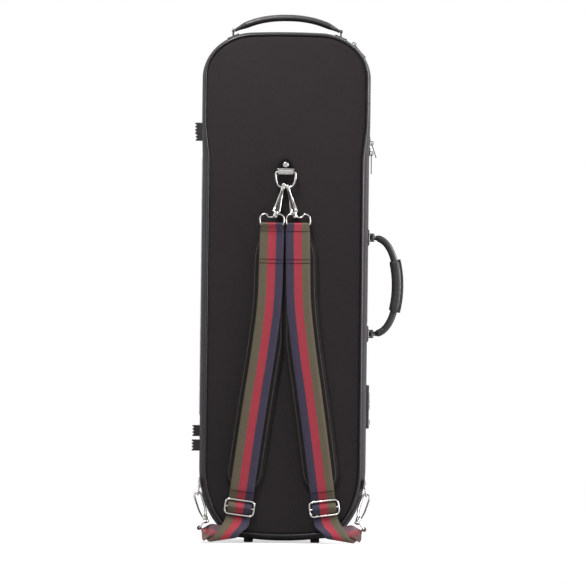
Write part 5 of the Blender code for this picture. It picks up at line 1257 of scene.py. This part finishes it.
def make_webbing(word, side, eye):
    """The strap from the fold round the hook's eye to the adjuster, as in the CAD. It gives its last row."""
    adjuster, along, across = adjuster_frame(side)
    top_along = strap_direction(1.0, side)
    top_across = top_along.cross(OUT)
    folded = FOLDED_WIDTH + 0.003
    rows = [(eye - top_along * FOLD_RUN - OUT * WEB_EYE_GAP, top_across, -OUT, folded)]
    rows += [(*row, folded) for row in fold(eye, top_along, OUT, top_across, -90, 90, WEB_EYE_GAP)]
    start = 1 - FOLD_RUN / (eye.z - adjuster.z)
    for k in range(17):
        share = start + (STRAP_HEIGHT_SHARES[-2] - start) * k / 16
        rows.append((strap_path(share, side, WEBBING_Y), strap_across(share, side), OUT, WEBBING_WIDTH))
    half = ADJUSTER_HEIGHT / 2 - ADJUSTER_WIRE
    weave = ADJUSTER_WIRE + CLEARANCE + WEBBING_THICKNESS / 2
    for place, lift in ((half, -weave), (0, weave), (-half, -weave)):
        for lap in (ADJUSTER_LAP, -ADJUSTER_LAP):
            rows.append((adjuster + along * (place + lap) + OUT * lift, across, OUT, WEBBING_WIDTH))
    webbing(f"strap_{word}_webbing", curve_through(rows, 5), side, f"strap_{word}")
    sewn(f"strap_{word}_stitches", [crossing(z, side) for z in STRAP_SEAM_HEIGHTS], "webbing", "thread_dark")
    return rows[-1][:3]


def make_cushion(word, side):
    """The padded backing under the webbing, with a bound edge, a ribbed mesh face and edge stitches."""
    bottom, top = strap_point(PAD_BOTTOM_SHARE, side).z, strap_point(PAD_TOP_SHARE, side).z
    rings, edges = [], ([], [])
    for k in range(PAD_RINGS + 1):
        way = (1 - math.cos(math.pi * k / PAD_RINGS)) / 2
        share = PAD_BOTTOM_SHARE + (PAD_TOP_SHARE - PAD_BOTTOM_SHARE) * way
        middle = strap_path(share, side)
        near_end = min((top - middle.z) / PAD_TOP_TAPER, (middle.z - bottom) / PAD_BOTTOM_TAPER)
        taper = math.sqrt(max(0.03, 1 - max(0.0, 1 - PAD_END_SHARE - near_end) ** 2))
        across = strap_across(share, side)
        across *= math.copysign(1, across.x * side)
        outer = PAD_WIDTH / 2 * taper
        inner = min(outer, abs(middle.x) / abs(across.x) - CLEARANCE)
        full = PAD_THICKNESS * (PAD_EDGE_SHARE + (1 - PAD_EDGE_SHARE) * taper)
        puff = 1 + 0.012 * math.sin(share * 210) + 0.010 * math.sin(share * 77 + side)
        ring = []
        for s, t in PAD_SECTION:
            thick = full * t * (puff if t > 0.5 and abs(s) > 0.7 else 1)
            ring.append(middle + across * (s * (outer if s > 0 else inner)) + Vector((0, PAD_BACK - thick, 0)))
        rings.append(ring)
        back = Vector((0, PAD_BACK - full * PAD_BINDING_SHARE, 0))
        for edge, away, size in zip(edges, (across, -across), (outer, inner)):
            edge.append((middle + away * (size - 0.0002) + back, away))
    pad = piece(f"strap_pad_{word}_cushion", loft(rings), "pad", "case", f"strap_pad_{word}", angle=50)
    loop = edges[0] + edges[1][::-1]
    binding = tube([point for point, _ in loop], PAD_BINDING_RADII, 10, closed=True)
    piece(f"strap_pad_{word}_binding", binding, "binding")
    seam = [(point - away * PAD_SEAM_INSET + OUT * (PAD_THICKNESS * 0.50), (OUT * 0.9 + away * 0.4).normalized())
            for point, away in loop]
    sewn(f"strap_pad_{word}_stitches", [seam], "pad", "thread_light", closed=True)


def make_loose_end(word, side, start, eye, eye_across, arriving):
    """The tail: as the CAD's, with more stations. Down, a U-turn on the floor and up to the lower eye."""
    begin, across, out = start
    down = across.cross(out).normalized()
    down *= -math.copysign(1, down.z)
    across = across * math.copysign(1, across.x * side)
    eye_across = eye_across * -math.copysign(1, eye_across.y)
    begin = begin + down * CLEARANCE * 3
    end = eye - arriving * (WEB_EYE_WIRE + CLEARANCE * 2)
    tilt, radius = math.radians(TAIL_FOLD_TILT_DEG), TAIL_FOLD_RADIUS
    ruling = Vector((side * math.cos(tilt), 0, -math.sin(tilt)))
    low = FLOOR_LIFT + WEBBING_THICKNESS / 2 + WEBBING_WIDTH * 0.6 * math.sin(tilt)
    middle = Vector((begin.x + (end.x - begin.x) * TAIL_FOLD_SHARE, begin.y - TAIL_FORWARD + radius, low + radius))
    turned = []
    for k in range(TAIL_LEG_STEPS + 1):
        turn = math.radians(TAIL_FOLD_TURN_DEG) * k / TAIL_LEG_STEPS
        turned.append(middle + Vector((side * TAIL_DRIFT * turn, -radius * math.cos(turn), -radius * math.sin(turn))))
    place = turned[-1]
    twist = Vector([a + (b - a) * share for a, b, share in zip(place, end, TAIL_TWIST_PLACE_SHARES)])
    twist_ruling = Vector((side * TAIL_TWIST_SHARES[0], *TAIL_TWIST_SHARES[1:])).normalized()
    falling, leaving = (turned[1] - turned[0]).normalized(), (place - turned[-2]).normalized()
    through = (end - twist).normalized()
    legs = (
        ([begin], across, across),
        (eased(begin + down * TAIL_LEAD, turned[0], down, falling, TAIL_LEG_STEPS), across, ruling),
        (turned[:-1], ruling, ruling),
        (eased(place, twist, leaving, through, TAIL_LEG_STEPS), ruling, twist_ruling),
        (eased(twist, end, through, arriving, TAIL_LEG_STEPS), twist_ruling, eye_across),
        ([end], eye_across, eye_across),
    )
    stations = [(point, first.lerp(final, smooth(k / len(points))).normalized())
                for points, first, final in legs for k, point in enumerate(points)]
    rows, last = [], len(stations) - 1
    for i, (point, wide) in enumerate(stations):
        slope = (stations[min(i + 1, last)][0] - stations[max(i - 1, 0)][0]).normalized()
        face = slope.cross(wide)
        if i == 0:
            turn = math.copysign(1, face.dot(out))
        width = FOLDED_WIDTH + (WEBBING_WIDTH - FOLDED_WIDTH) * smooth((last - i) / (TAIL_LEG_STEPS * 0.8))
        rows.append((point, wide / max(face.length, TAIL_SKEW_SHARE), face * turn, width))
    rows[0] = (begin, across, out, rows[0][3])
    webbing(f"strap_tail_{word}_webbing", rows, side, f"strap_tail_{word}", turn)


def hook_half(z, length):
    """Half the width of a hook's body at a height."""
    return HOOK_BASE_HALF + (HOOK_TIP_HALF - HOOK_BASE_HALF) * smooth(z / (length * 0.85))


def cast_hook(name, gate_name, length, placed, eye_frame, lean):
    """A snap hook with a smooth cast body, a turned swivel barrel, a wire eye and a spring gate."""
    track = [(0.0, BARREL_LENGTH / 3), (HOOK_LOOP * 0.55, length * 0.22), (HOOK_LOOP * 0.95, length * 0.5),
             (HOOK_LOOP, length * 0.8), *arc((0, length), HOOK_LOOP, 0, 180, 8), (-HOOK_LOOP, length - NOSE_LENGTH)]
    fine = curve_through([(Vector((0, y, z)), hook_half(z, length)) for y, z in track], 4)
    body = tube([point for point, _ in fine], [(half, HOOK_WIRE) for _, half in fine], 20)
    profile = ((-0.5, 0.86), (-0.44, 1.0), (-0.20, 1.0), (-0.16, 0.86), (0.16, 0.86), (0.20, 1.0), (0.44, 1.0),
               (0.5, 0.86))
    collar = tube([(0, 0, share * BARREL_LENGTH) for share, _ in profile],
                  [BARREL_RADIUS * size for _, size in profile], 24)
    half, lobe = WEB_EYE_WIDTH / 2, WEB_EYE_DROP / 2
    right = [(0.0, WEB_EYE_TOP), (half * 0.28, WEB_EYE_TOP - WEB_EYE_WIRE * 0.5),
             *arc((half - lobe * 1.2, WEB_EYE_TOP - lobe * 0.5), lobe * 1.15, 110, 5, 5),
             (half, WEB_EYE_BAR + lobe * 0.7), (half - lobe * 0.25, WEB_EYE_BAR + lobe * 0.06),
             (half - lobe * 0.7, WEB_EYE_BAR), (half * 0.3, WEB_EYE_BAR)]
    loop = right + [(-x, z) for x, z in reversed(right[1:])]
    bowed = [(x + (lean if i else 0), 0, z) for i, (x, z) in enumerate(loop)]
    eye = tube(closed_curve(bowed, 3), WEB_EYE_WIRE, 14, closed=True)
    piece(f"{name}_chrome", together([moved(body, placed), moved(collar, placed), moved(eye, eye_frame)]),
          "chrome", "case", name, angle=50)
    low = BARREL_LENGTH / 2 + CLEARANCE
    tip = length - NOSE_LENGTH - HOOK_WIRE * 0.3 - CLEARANCE
    fine = curve_through([(Vector((0, -HOOK_LOOP * reach, z)), GATE_WIRE * wide, GATE_WIRE * thick)
                          for reach, z, wide, thick in ((0.62, low, 0.9, 0.6), (0.72, low + GATE_WIRE * 1.6, 1.3, 0.8),
                                                        (1, length * 0.45, 1.3, 1), (1, tip, 1.1, 1))], 5)
    gate = tube([row[0] for row in fine], [row[1:] for row in fine], 16)
    piece(f"{gate_name}_steel", moved(gate, placed), "gunmetal", gate_name, gate_name)


def make_buckle(word, side):
    """The adjuster: a bright round-cornered wire frame with a bar across it."""
    middle, along, across = adjuster_frame(side)
    half_w, half_h = ADJUSTER_WIDTH / 2 - ADJUSTER_WIRE, ADJUSTER_HEIGHT / 2 - ADJUSTER_WIRE
    outline = rounded((-half_w, -half_h), (half_w, half_h), ADJUSTER_CORNER, 8)
    wire = tube([middle + across * x + along * z for x, z in outline], ADJUSTER_WIRE, 16, closed=True)
    bar = tube([middle - across * half_w, middle + across * half_w], ADJUSTER_WIRE * 0.95, 16)
    piece(f"adjuster_{word}_chrome", together([wire, bar]), "chrome", node=f"adjuster_{word}")


def make_side_ring(word, side):
    """The corner ring: its riveted plate and a bent wire ring."""
    name = f"corner_ring_{word}"
    z, y = up(CORNER_RING_SHARE), BACK * CORNER_RING_DEPTH_SHARE
    bar, half = corner_ring_bar(side), CORNER_RING_WIDTH / 2
    top, low, high = (z + CORNER_TAB_HEIGHT * share for share in (-0.25, -0.5, 0.5))
    seat_low, seat_top = seat_line(low, high, y + half)
    outline = [(seat_low, low), (seat_top, high), (seat_top + CORNER_TAB_THICKNESS, high),
               (seat_low + CORNER_TAB_THICKNESS, low)]
    plate = prism([(side * x, level) for x, level in outline], "y", y - half * 0.7, y + half * 0.7)
    piece(f"{name}_plate", plate, "chrome", width=0.0006)
    inner = side * (seat_top + CORNER_TAB_THICKNESS / 2)
    path = [Vector((inner + (bar.x - inner) * share, y - half * reach, top + (bar.z - top) * share))
            for share, reach in ((0.0, 0.70), (0.30, 0.86), (0.62, 0.98), (0.86, 0.92), (0.97, 0.76), (1.0, 0.5),
                                 (1.0, 0.2))]
    path += [Vector((p.x, 2 * y - p.y, p.z)) for p in reversed(path)]
    piece(f"{name}_wire", tube(closed_curve(path, 3), ADJUSTER_WIRE, 14, closed=True), "chrome", node=name)
    rivet = (side * ((seat_low + seat_top) / 2 + CORNER_TAB_THICKNESS), y, z + 0.001)
    studded(f"{name}_rivet", "ring", [rivet], (side, 0, 0), "steel")


def wrap_eye(word, side, eye, eye_across, arriving):
    """The webbing's end turned round the lower eye's bar."""
    normal = arriving.cross(eye_across).normalized()
    rows = []
    for k in range(WRAP_STEPS + 1):
        turn = math.radians(WRAP_HALF_DEG * (2 * k / WRAP_STEPS - 1))
        away = arriving * math.cos(turn) + normal * math.sin(turn)
        rows.append((eye + away * WEB_EYE_GAP, eye_across, away, FOLDED_WIDTH * 0.92))
    webbing(f"strap_tail_{word}_loop", rows, side)


def make_straps():
    """Each strap from its upper hook to its lower one, with its pad, adjuster, tail and corner ring."""
    for word, side in SIDES:
        placed = upper_hook_frame(side)
        base = placed.translation
        eye_frame = aimed(base, base + strap_direction(1.0, side), (0, 1, 0))
        lean = WEB_EYE_LEAN * side * math.copysign(1, eye_frame.col[0].x)
        cast_hook(f"upper_hook_{word}", f"upper_gate_{word}", HOOK_LENGTH, placed, eye_frame, lean)
        make_buckle(word, side)
        make_side_ring(word, side)
        make_cushion(word, side)
        last = make_webbing(word, side, eye_frame @ Vector((lean, 0, WEB_EYE_BAR)))
        placed = lower_hook_frame(side)
        base = placed.translation
        eye_frame = aimed(base, base + Vector((-side * LOWER_EYE_LEAN, 0, BARREL_LENGTH)), (-side, 0, 0))
        eye_frame = eye_frame @ Matrix.Rotation(math.radians(LOWER_EYE_TILT_DEG) * side, 4, "Y")
        cast_hook(f"lower_hook_{word}", f"lower_gate_{word}", LOWER_HOOK_LENGTH, placed, eye_frame, 0)
        eye, turned = eye_frame @ Vector((0, 0, WEB_EYE_BAR)), eye_frame.to_3x3()
        wide = turned.col[0].copy()
        arriving = wide.cross(turned.col[2]).normalized()
        arriving *= math.copysign(1, arriving.x * side)
        make_loose_end(word, side, last, eye, wide, arriving)
        wrap_eye(word, side, eye, wide, arriving)


# Fittings and trim

def make_anchor():
    """The anchor's rivet, ring, clasp, bar and seam, and the rivet where the two hooks cross."""
    z, face, half = up(ANCHOR_SHARE), BACK - CLEARANCE - ANCHOR_THICKNESS, ANCHOR_WIDTH / 2
    studded("anchor_rivet", "anchor", [(0, face, z)], OUT, "chrome")
    bar_z, tip_z = ring_ends()
    wide, drop = RING_WIDTH / 2 - RING_WIRE, bar_z - tip_z
    loop = [(-wide * 0.78, bar_z), (wide * 0.78, bar_z), (wide * 0.95, bar_z - drop * 0.03)]
    for k in range(49):
        turn = math.pi * k / 48
        reach = math.copysign(abs(math.cos(turn)) ** 0.55, math.cos(turn))
        loop.append((wide * reach, bar_z - drop * 0.10 - drop * 0.90 * math.sin(turn) ** 0.82))
    loop.append((-wide * 0.95, bar_z - drop * 0.03))
    ring = tube([(x, HOOK_Y, level) for x, level in loop], RING_WIRE, 16, closed=True)
    piece("anchor_ring_chrome", ring, "chrome", "anchor_ring", "anchor_ring")
    crossed = (-0.0026, HOOK_Y - HOOK_LOOP - 0.0004, tip_z + 0.0035)
    studded("hook_pivot_rivet", "pivot", [crossed], OUT, "chrome")
    turns = [math.radians(CLASP_HALF_DEG * (2 * k / CLASP_STEPS - 1)) for k in range(CLASP_STEPS + 1)]
    way = [(turn, ANCHOR_ROLL + CLASP_HALF_THICKNESS + CLASP_RIB * math.cos(k / 4 * math.pi))
           for k, turn in enumerate(turns)]
    way += [(turn, ANCHOR_ROLL - CLASP_HALF_THICKNESS) for turn in reversed(turns)]
    ribs = [(HOOK_Y - math.cos(turn) * reach, bar_z + math.sin(turn) * reach) for turn, reach in way]
    piece("anchor_clasp", prism(ribs, "x", -half * 0.93, half * 0.93), "chrome")
    ends = [(way * half * 1.03, face - 0.0003, bar_z + 0.0044) for way in (-1, 1)]
    piece("anchor_bar", tube(ends, ANCHOR_BAR_RADIUS, 16), "chrome", width=0.0003)
    edge = []
    for k in range(41):
        turn = math.pi * k / 40
        edge.append((Vector(((half - ANCHOR_SEAM_INSET) * math.cos(turn), face,
                             z - ANCHOR_HEIGHT / 2 + (ANCHOR_HEIGHT - ANCHOR_SEAM_INSET) * math.sin(turn))), OUT))
    sewn("anchor_stitches", [edge], "anchor", "thread")


def make_hook_trim():
    """Two rivets on each hook's body, and a dark gunmetal strip along it as painted shade in its groove."""
    for word, side in SIDES:
        for level, placed, length in (("upper", upper_hook_frame(side), HOOK_LENGTH),
                                      ("lower", lower_hook_frame(side), LOWER_HOOK_LENGTH)):
            heads = []
            for way in (-1, 1):
                centre = placed @ Vector((way * HOOK_BASE_HALF * 0.80, HOOK_LOOP * 0.30, length * 0.20))
                heads.append(dome(centre, placed.to_3x3() @ Vector((way, 0, 0)), *HEADS["hook"]))
            piece(f"{level}_hook_{word}_rivets", together(heads), "chrome")
            # A dark strip along the body: painted shade where its groove lies
            rings = []
            for y, z in ((0.0, BARREL_LENGTH * 0.62), (HOOK_LOOP * 0.55, length * 0.24),
                         (HOOK_LOOP * 0.80, length * 0.38), (HOOK_LOOP * 0.95, length * 0.5),
                         (HOOK_LOOP * 0.99, length * 0.68), (HOOK_LOOP, length * 0.84)):
                half, near, far = 0.60 * hook_half(z, length), y - HOOK_WIRE * 1.10, y - HOOK_WIRE * 0.6
                corners = ((-half, near, z), (half, near, z), (half, far, z), (-half, far, z))
                rings.append([placed @ Vector(corner) for corner in corners])
            piece(f"{level}_hook_{word}_channel", loft(rings), "gunmetal")


def make_small_metal():
    """The lock's screws and window, and the rivets of the brackets and of the hinge."""
    strike_y = LOCK_FRONT_GAP + OVERRUN + STRIKE_WIDTH / 2 + STRIKE_SCREW_FORWARD
    for name, body, y, z, rises in (("lock_screws", "case", LOCK_MIDDLE_Y, LOCK_Z, LOCK_SCREW_RISE),
                                    ("strike_screws", "lid", strike_y, LOCK_Z - TONGUE_LOW_OFFSET, STRIKE_SCREW_RISE)):
        studded(name, "screw", [(LOCK_TOP, y, z + rise) for rise in rises], (1, 0, 0), "steel", body)
    low, high = ((LOCK_CASE_Y + side * WINDOW_HALF_WIDTH, LOCK_Z + rise) for side, rise in zip((-1, 1), WINDOW_RISE))
    window = [Vector((LOCK_TOP, y, z)) for y, z in rounded(low, high, WINDOW_CORNER, 6)]
    piece("lock_window", tube(window, WINDOW_RADII, 8, closed=True), "black_metal")
    reach = EYE_HEIGHT / 2 + CLEARANCE + BRACKET_EAR + BRACKET_MARGIN - BRACKET_RIVET_MARGIN
    places = [(HALF_WIDTH + CLEARANCE + BRACKET_THICKNESS, SIDE_HANDLE_Y + y * BRACKET_RIVET_HALF,
               SIDE_HANDLE_Z + end * HANDLE_SPAN / 2 + z * reach) for end in (-1, 1) for y in (-1, 1) for z in (-1, 1)]
    studded("bracket_rivets", "bracket", places, (1, 0, 0), "steel")
    for body, y in (("case", -HINGE_RIVET_Y), ("lid", HINGE_RIVET_Y)):
        places = [(HINGE_X + BORE_RADIUS, y, HINGE_BOTTOM + (k + 0.5) * KNUCKLE_PITCH) for k in range(HINGE_KNUCKLES)]
        studded(f"hinge_rivets_{body}", "hinge", places, (-1, 0, 0), "hinge_steel", body)


def make_digits():
    """Plain digits, and ribs between them, round the three wheels."""
    strokes = ("abcdef", "bc", "abged", "abgcd", "fgbc", "afgcd", "afgedc", "abc", "abcdefg", "abcdfg")
    ends = {"a": ((-1, 2), (1, 2)), "b": ((1, 2), (1, 0)), "c": ((1, 0), (1, -2)), "d": ((-1, -2), (1, -2)),
            "e": ((-1, 0), (-1, -2)), "f": ((-1, 2), (-1, 0)), "g": ((-1, 0), (1, 0))}
    span = WHEEL_PITCH * (WHEEL_COUNT - 1) + WHEEL_THICKNESS + 2 * CLEARANCE
    lowest = LOCK_Z + WHEEL_HIGH_OFFSET - span + CLEARANCE + WHEEL_THICKNESS / 2

    def on_wheel(turn, radius, z):
        return Vector((WHEEL_X + math.cos(turn) * radius, LOCK_CASE_Y + math.sin(turn) * radius, z))

    for k in range(WHEEL_COUNT):
        z = lowest + k * WHEEL_PITCH
        digits, ribs = [], []
        for number, shape in enumerate(strokes):
            turn = 2 * math.pi * (number + (k + 1) * 3) / 10
            for stroke in shape:
                path = [on_wheel(turn + v * STROKE_HALF_HEIGHT / WHEEL_RADIUS, WHEEL_RADIUS * DIGIT_SHARE,
                                 z + u * STROKE_HALF_WIDTH) for u, v in ends[stroke]]
                digits.append(tube(path, STROKE_RADIUS, 6))
            path = [on_wheel(turn + math.pi / 10, WHEEL_RADIUS - WHEEL_RIB_SINK, z + way * WHEEL_THICKNESS)
                    for way in (-WHEEL_RIB_HALF_SHARE, WHEEL_RIB_HALF_SHARE)]
            ribs.append(tube(path, WHEEL_RIB_RADIUS, 8))
        piece(f"wheel_{k + 1}_digits", together(digits), "digit", f"lock_wheel_{k + 1}")
        piece(f"wheel_{k + 1}_ribs", together(ribs), "steel", f"lock_wheel_{k + 1}")


# Soft pieces inside and the music pocket

def soften(node, width):
    """A plush stand-in for a padded CAD node: its shape with full, rounded edges."""
    name, mesh = f"{node}_plush", NODES[node].data.copy()
    mesh.name = name
    made = bmesh.new()
    made.from_mesh(mesh)
    bmesh.ops.remove_doubles(made, verts=made.verts, dist=1e-6)
    bmesh.ops.dissolve_limit(made, angle_limit=math.radians(1.0), verts=made.verts, edges=made.edges)
    made.to_mesh(mesh)
    made.free()
    mesh.materials.clear()
    mesh.shade_smooth()
    obj = show(name, mesh, "plush", NODES[node]["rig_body"], node, width=width, segments=3, angle_deg=30)
    obj.modifiers["edge"].harden_normals = True


def drawn_in(y, inset):
    """An inset ring that never folds over itself in the tight corners: past a depth it is scaled instead."""
    ring = outline_ring(y, min(inset, SAFE_INSET))
    extra, middle = max(0.0, inset - SAFE_INSET), up(0.5)
    return [(x * (1 - extra / HALF_WIDTH), y, middle + (z - middle) * (1 - 2 * extra / CASE_HEIGHT))
            for x, y, z in ring]


def make_soft_parts():
    """The padded lining, the lid's lined walls and the music pocket's crowned cloth with its bead and seam."""
    for node, width, fill in (("shell_lining", 0.0030, 0.7), ("lid_lining", 0.0012, 0.6),
                              ("neck_cradle", 0.0030, 0.8), ("accessory_lid", 0.0012, 0.6)):
        soften(node, width)
    deep = FRONT - WALL
    rings = [outline_ring(y, WALL + FRONT_INSET * (y - RIM) / (deep - RIM) + thick)
             for y, thick in ((REBATE, CLEARANCE), (REBATE + CLEARANCE, LINING_THICKNESS),
                              (deep - CLEARANCE, LINING_THICKNESS), (deep - CLEARANCE, CLEARANCE))]
    piece("lid_wall_plush", loft(rings, closed=True), "plush", "lid")
    foot = FRONT + PIPING_RADIUS + CLEARANCE
    top = foot + POCKET_THICKNESS
    rings = [drawn_in(FRONT + CLEARANCE, POCKET_INSET)]
    for rise, inset in POCKET_CROWN:
        rings.append(drawn_in(foot + POCKET_THICKNESS * rise, POCKET_INSET + POCKET_CROWN_INSET * inset))
    rings += [scaled_ring(top, 0.55), scaled_ring(top, 0.25)]
    cloth = [(x, z, 0.0) for ring in rings for x, _, z in ring]
    pocket = piece("music_pocket_cloth", loft(rings), "canvas", "lid", "music_pocket", cloth, 50)
    bead = tube(outline_ring(top - POCKET_THICKNESS * 0.13, POCKET_INSET + POCKET_CROWN_INSET * 0.24),
                POCKET_BEAD_RADIUS, 10, closed=True)
    piece("music_pocket_piping", bead, "piping", "lid")
    ring = drawn_in(top - POCKET_THICKNESS * 0.012, POCKET_INSET + POCKET_CROWN_INSET * 0.72)
    seam = [(Vector(point), Vector((0, 1, 0))) for point in ring]
    sewn("music_pocket_stitches", [seam], "pocket", "thread", "lid", closed=True)


def make_pocket_zip():
    """The music pocket's zip along the lid's side wall: a flush tape, a coil and its stitches."""
    y = FRONT * POCKET_SLIDER_DEPTH_SHARE
    run = [row for row in OUTLINE if row[1] > up(0.40 if row[0] > 0 else 0.60)]
    start = next(i for i, row in enumerate(run) if row[0] > 0)
    rings, rows = [], []
    for x, z, out_x, out_z in run[start:] + run[:start]:
        out = Vector((out_x, 0, out_z))
        base = Vector((x, y, z)) + out * (SHOULDER_BULGE * 0.5 * shoulder(z) + POCKET_ZIP_LIFT)
        rings.append([base + Vector((0, w, 0)) + out * h for w, h in POCKET_TAPE])
        rows.append((base + out * 0.0004, out))
    piece("pocket_zip_tape", loft(rings), "tape", "lid")
    coil = [tube([centre + Vector((0, w, 0)) + out * h for w, h in COIL_TURN], COIL_RADIUS, 6)
            for centre, _, out in spaced(rows, COIL_PITCH)]
    piece("pocket_zip_coil", together(coil), "plastic", "lid")
    for word, w in (("low", -POCKET_ZIP_SEAM), ("high", POCKET_ZIP_SEAM)):
        line = [(point + Vector((0, w, 0)), out) for point, out in rows]
        sewn(f"pocket_zip_stitches_{word}", [line], "pocket_zip", "thread", "lid")


# The finish of each CAD node that stays in view, by the start of its name
CAD_FINISHES = (
    ("zipper_tape", "tape"), ("zipper_", "gunmetal"), ("pocket_", "gunmetal"), ("hinge_", "hinge_steel"),
    ("anchor_tab", "patent"), ("lock_wheel", "steel"), ("lock_button", "chrome"), ("lock_", "lock"),
    ("end_foot", "rubber"), ("spine_foot", "rubber"), ("handle_bracket", "black_metal"),
    ("top_handle_plate", "black_metal"), ("bow_toggle", "plastic"),
)
CAD_EDGES = {"rubber": 0.0007, "plastic": 0.0006, "lock": 0.0005, "steel": 0.00025, "patent": 0.0008}


def dress_cad():
    """Materials, smooth shading and fine edges for the CAD nodes that stay in view."""
    for name, node in NODES.items():
        if node.hide_render:
            continue
        finish = next(finish for start, finish in CAD_FINISHES if name.startswith(start))
        node.data.materials.clear()
        node.data.materials.append(FINISHES[finish][1])
        node.data.shade_smooth()
        node.data.set_sharp_from_angle(angle=math.radians(50 if finish in ("chrome", "rubber") else 35))
        if finish in CAD_EDGES:
            rounded_edges(node, CAD_EDGES[finish], angle_deg=45)


# Studio

def make_floor(scene):
    """A lit floor round the case that fades to white with distance for the camera."""
    mesh = bpy.data.meshes.new("studio_floor")
    mesh.from_pydata([(-9, -5, 0), (9, -5, 0), (9, 9, 0), (-9, 9, 0)], [], [(0, 1, 2, 3)])
    floor = bpy.data.objects.new("studio_floor", mesh)
    scene.collection.objects.link(floor)
    n = surface("studio_floor")
    far = n.range(n.add("VectorMath", {0: n.coords()}, "Value", operation="LENGTH"), 0.0, 1.0, 0.35, 1.3)
    plain = n.add("BsdfDiffuse", {"Color": (0.62, 0.62, 0.62)})
    lit = n.add("AddShader", {0: plain, 1: n.add("Emission", {"Strength": 0.62})})
    seen = n.add("MixShader", {0: far, 1: lit, 2: n.add("Emission", {"Strength": 1.0})})
    mixed = n.add("MixShader", {0: n.add("LightPath", {}, "Is Camera Ray"), 1: plain, 2: seen})
    n.put(mixed, n.tree.nodes["Material Output"].inputs["Surface"])
    mesh.materials.append(n.owner)


def make_world(scene):
    """White for the camera and in reflections, and a low soft light otherwise."""
    scene.world = bpy.data.worlds.new("studio")
    n = Nodes(scene.world)
    n.tree.nodes.clear()
    kinds = ("Camera", "Glossy", "Transmission")
    camera, glossy, through = (n.add("LightPath", {}, f"Is {kind} Ray") for kind in kinds)
    white = n.add("Background", {"Color": (1.0, 1.0, 1.0), "Strength": 1.0})
    soft = n.add("Background", {"Color": (0.96, 0.97, 1.0), "Strength": 0.11})
    seen = n.maths("MAXIMUM", n.maths("MAXIMUM", camera, glossy), through)
    mixed = n.add("MixShader", {0: seen, 1: soft, 2: white})
    n.put(mixed, n.tree.nodes.new("ShaderNodeOutputWorld").inputs["Surface"])


def make_studio():
    """The floor, the surroundings, four soft lights and the photo's camera."""
    scene = bpy.context.scene
    scene.view_settings.view_transform = "Standard"
    make_floor(scene)
    make_world(scene)
    for name, place, aim, size, power in (
            ("key_top_left", (-0.4, -0.62, 1.62), (-0.05, 0, 0.8), 0.5, 22.0),
            ("side_right", (2.2, -0.16, 0.9), (0.1, 0, 0.4), 1.4, 75.0),
            ("fill_left", (-2.3, -0.2, 1.3), (-0.1, 0, 0.5), 1.0, 9.0),
            ("lid_fill", (0.9, 2.6, 1.5), (0, 0, 0.4), 1.6, 34.0)):
        light = bpy.data.lights.new(name, "AREA")
        light.shape, light.size, light.energy = "SQUARE", size, power
        lamp = bpy.data.objects.new(name, light)
        scene.collection.objects.link(lamp)
        lamp.location = place
        lamp.visible_camera = False
        lamp.rotation_euler = (Vector(aim) - Vector(place)).to_track_quat("-Z", "Y").to_euler()
    data = bpy.data.cameras.new("photo_camera")
    camera = bpy.data.objects.new("photo_camera", data)
    scene.collection.objects.link(camera)
    data.sensor_width = LENS_SENSOR
    data.lens = LENS_SENSOR * VIEW_DISTANCE / SCALE_WIDTH
    data.clip_end = 60
    up_way, ahead = Vector((VIEW_ROLL, 0, 1)).normalized(), Vector((0, 1, 0))
    turn = Matrix((ahead.cross(up_way).normalized(), up_way, -ahead)).transposed().to_4x4()
    camera.matrix_world = Matrix.Translation((AT.x + VIEW_X, AT.y + BACK - VIEW_DISTANCE, VIEW_Z)) @ turn
    scene.camera = camera


make_case()
make_zipper()
make_grips()
make_arch()
make_straps()
make_anchor()
make_hook_trim()
make_small_metal()
make_digits()
make_soft_parts()
make_pocket_zip()
dress_cad()
make_studio()
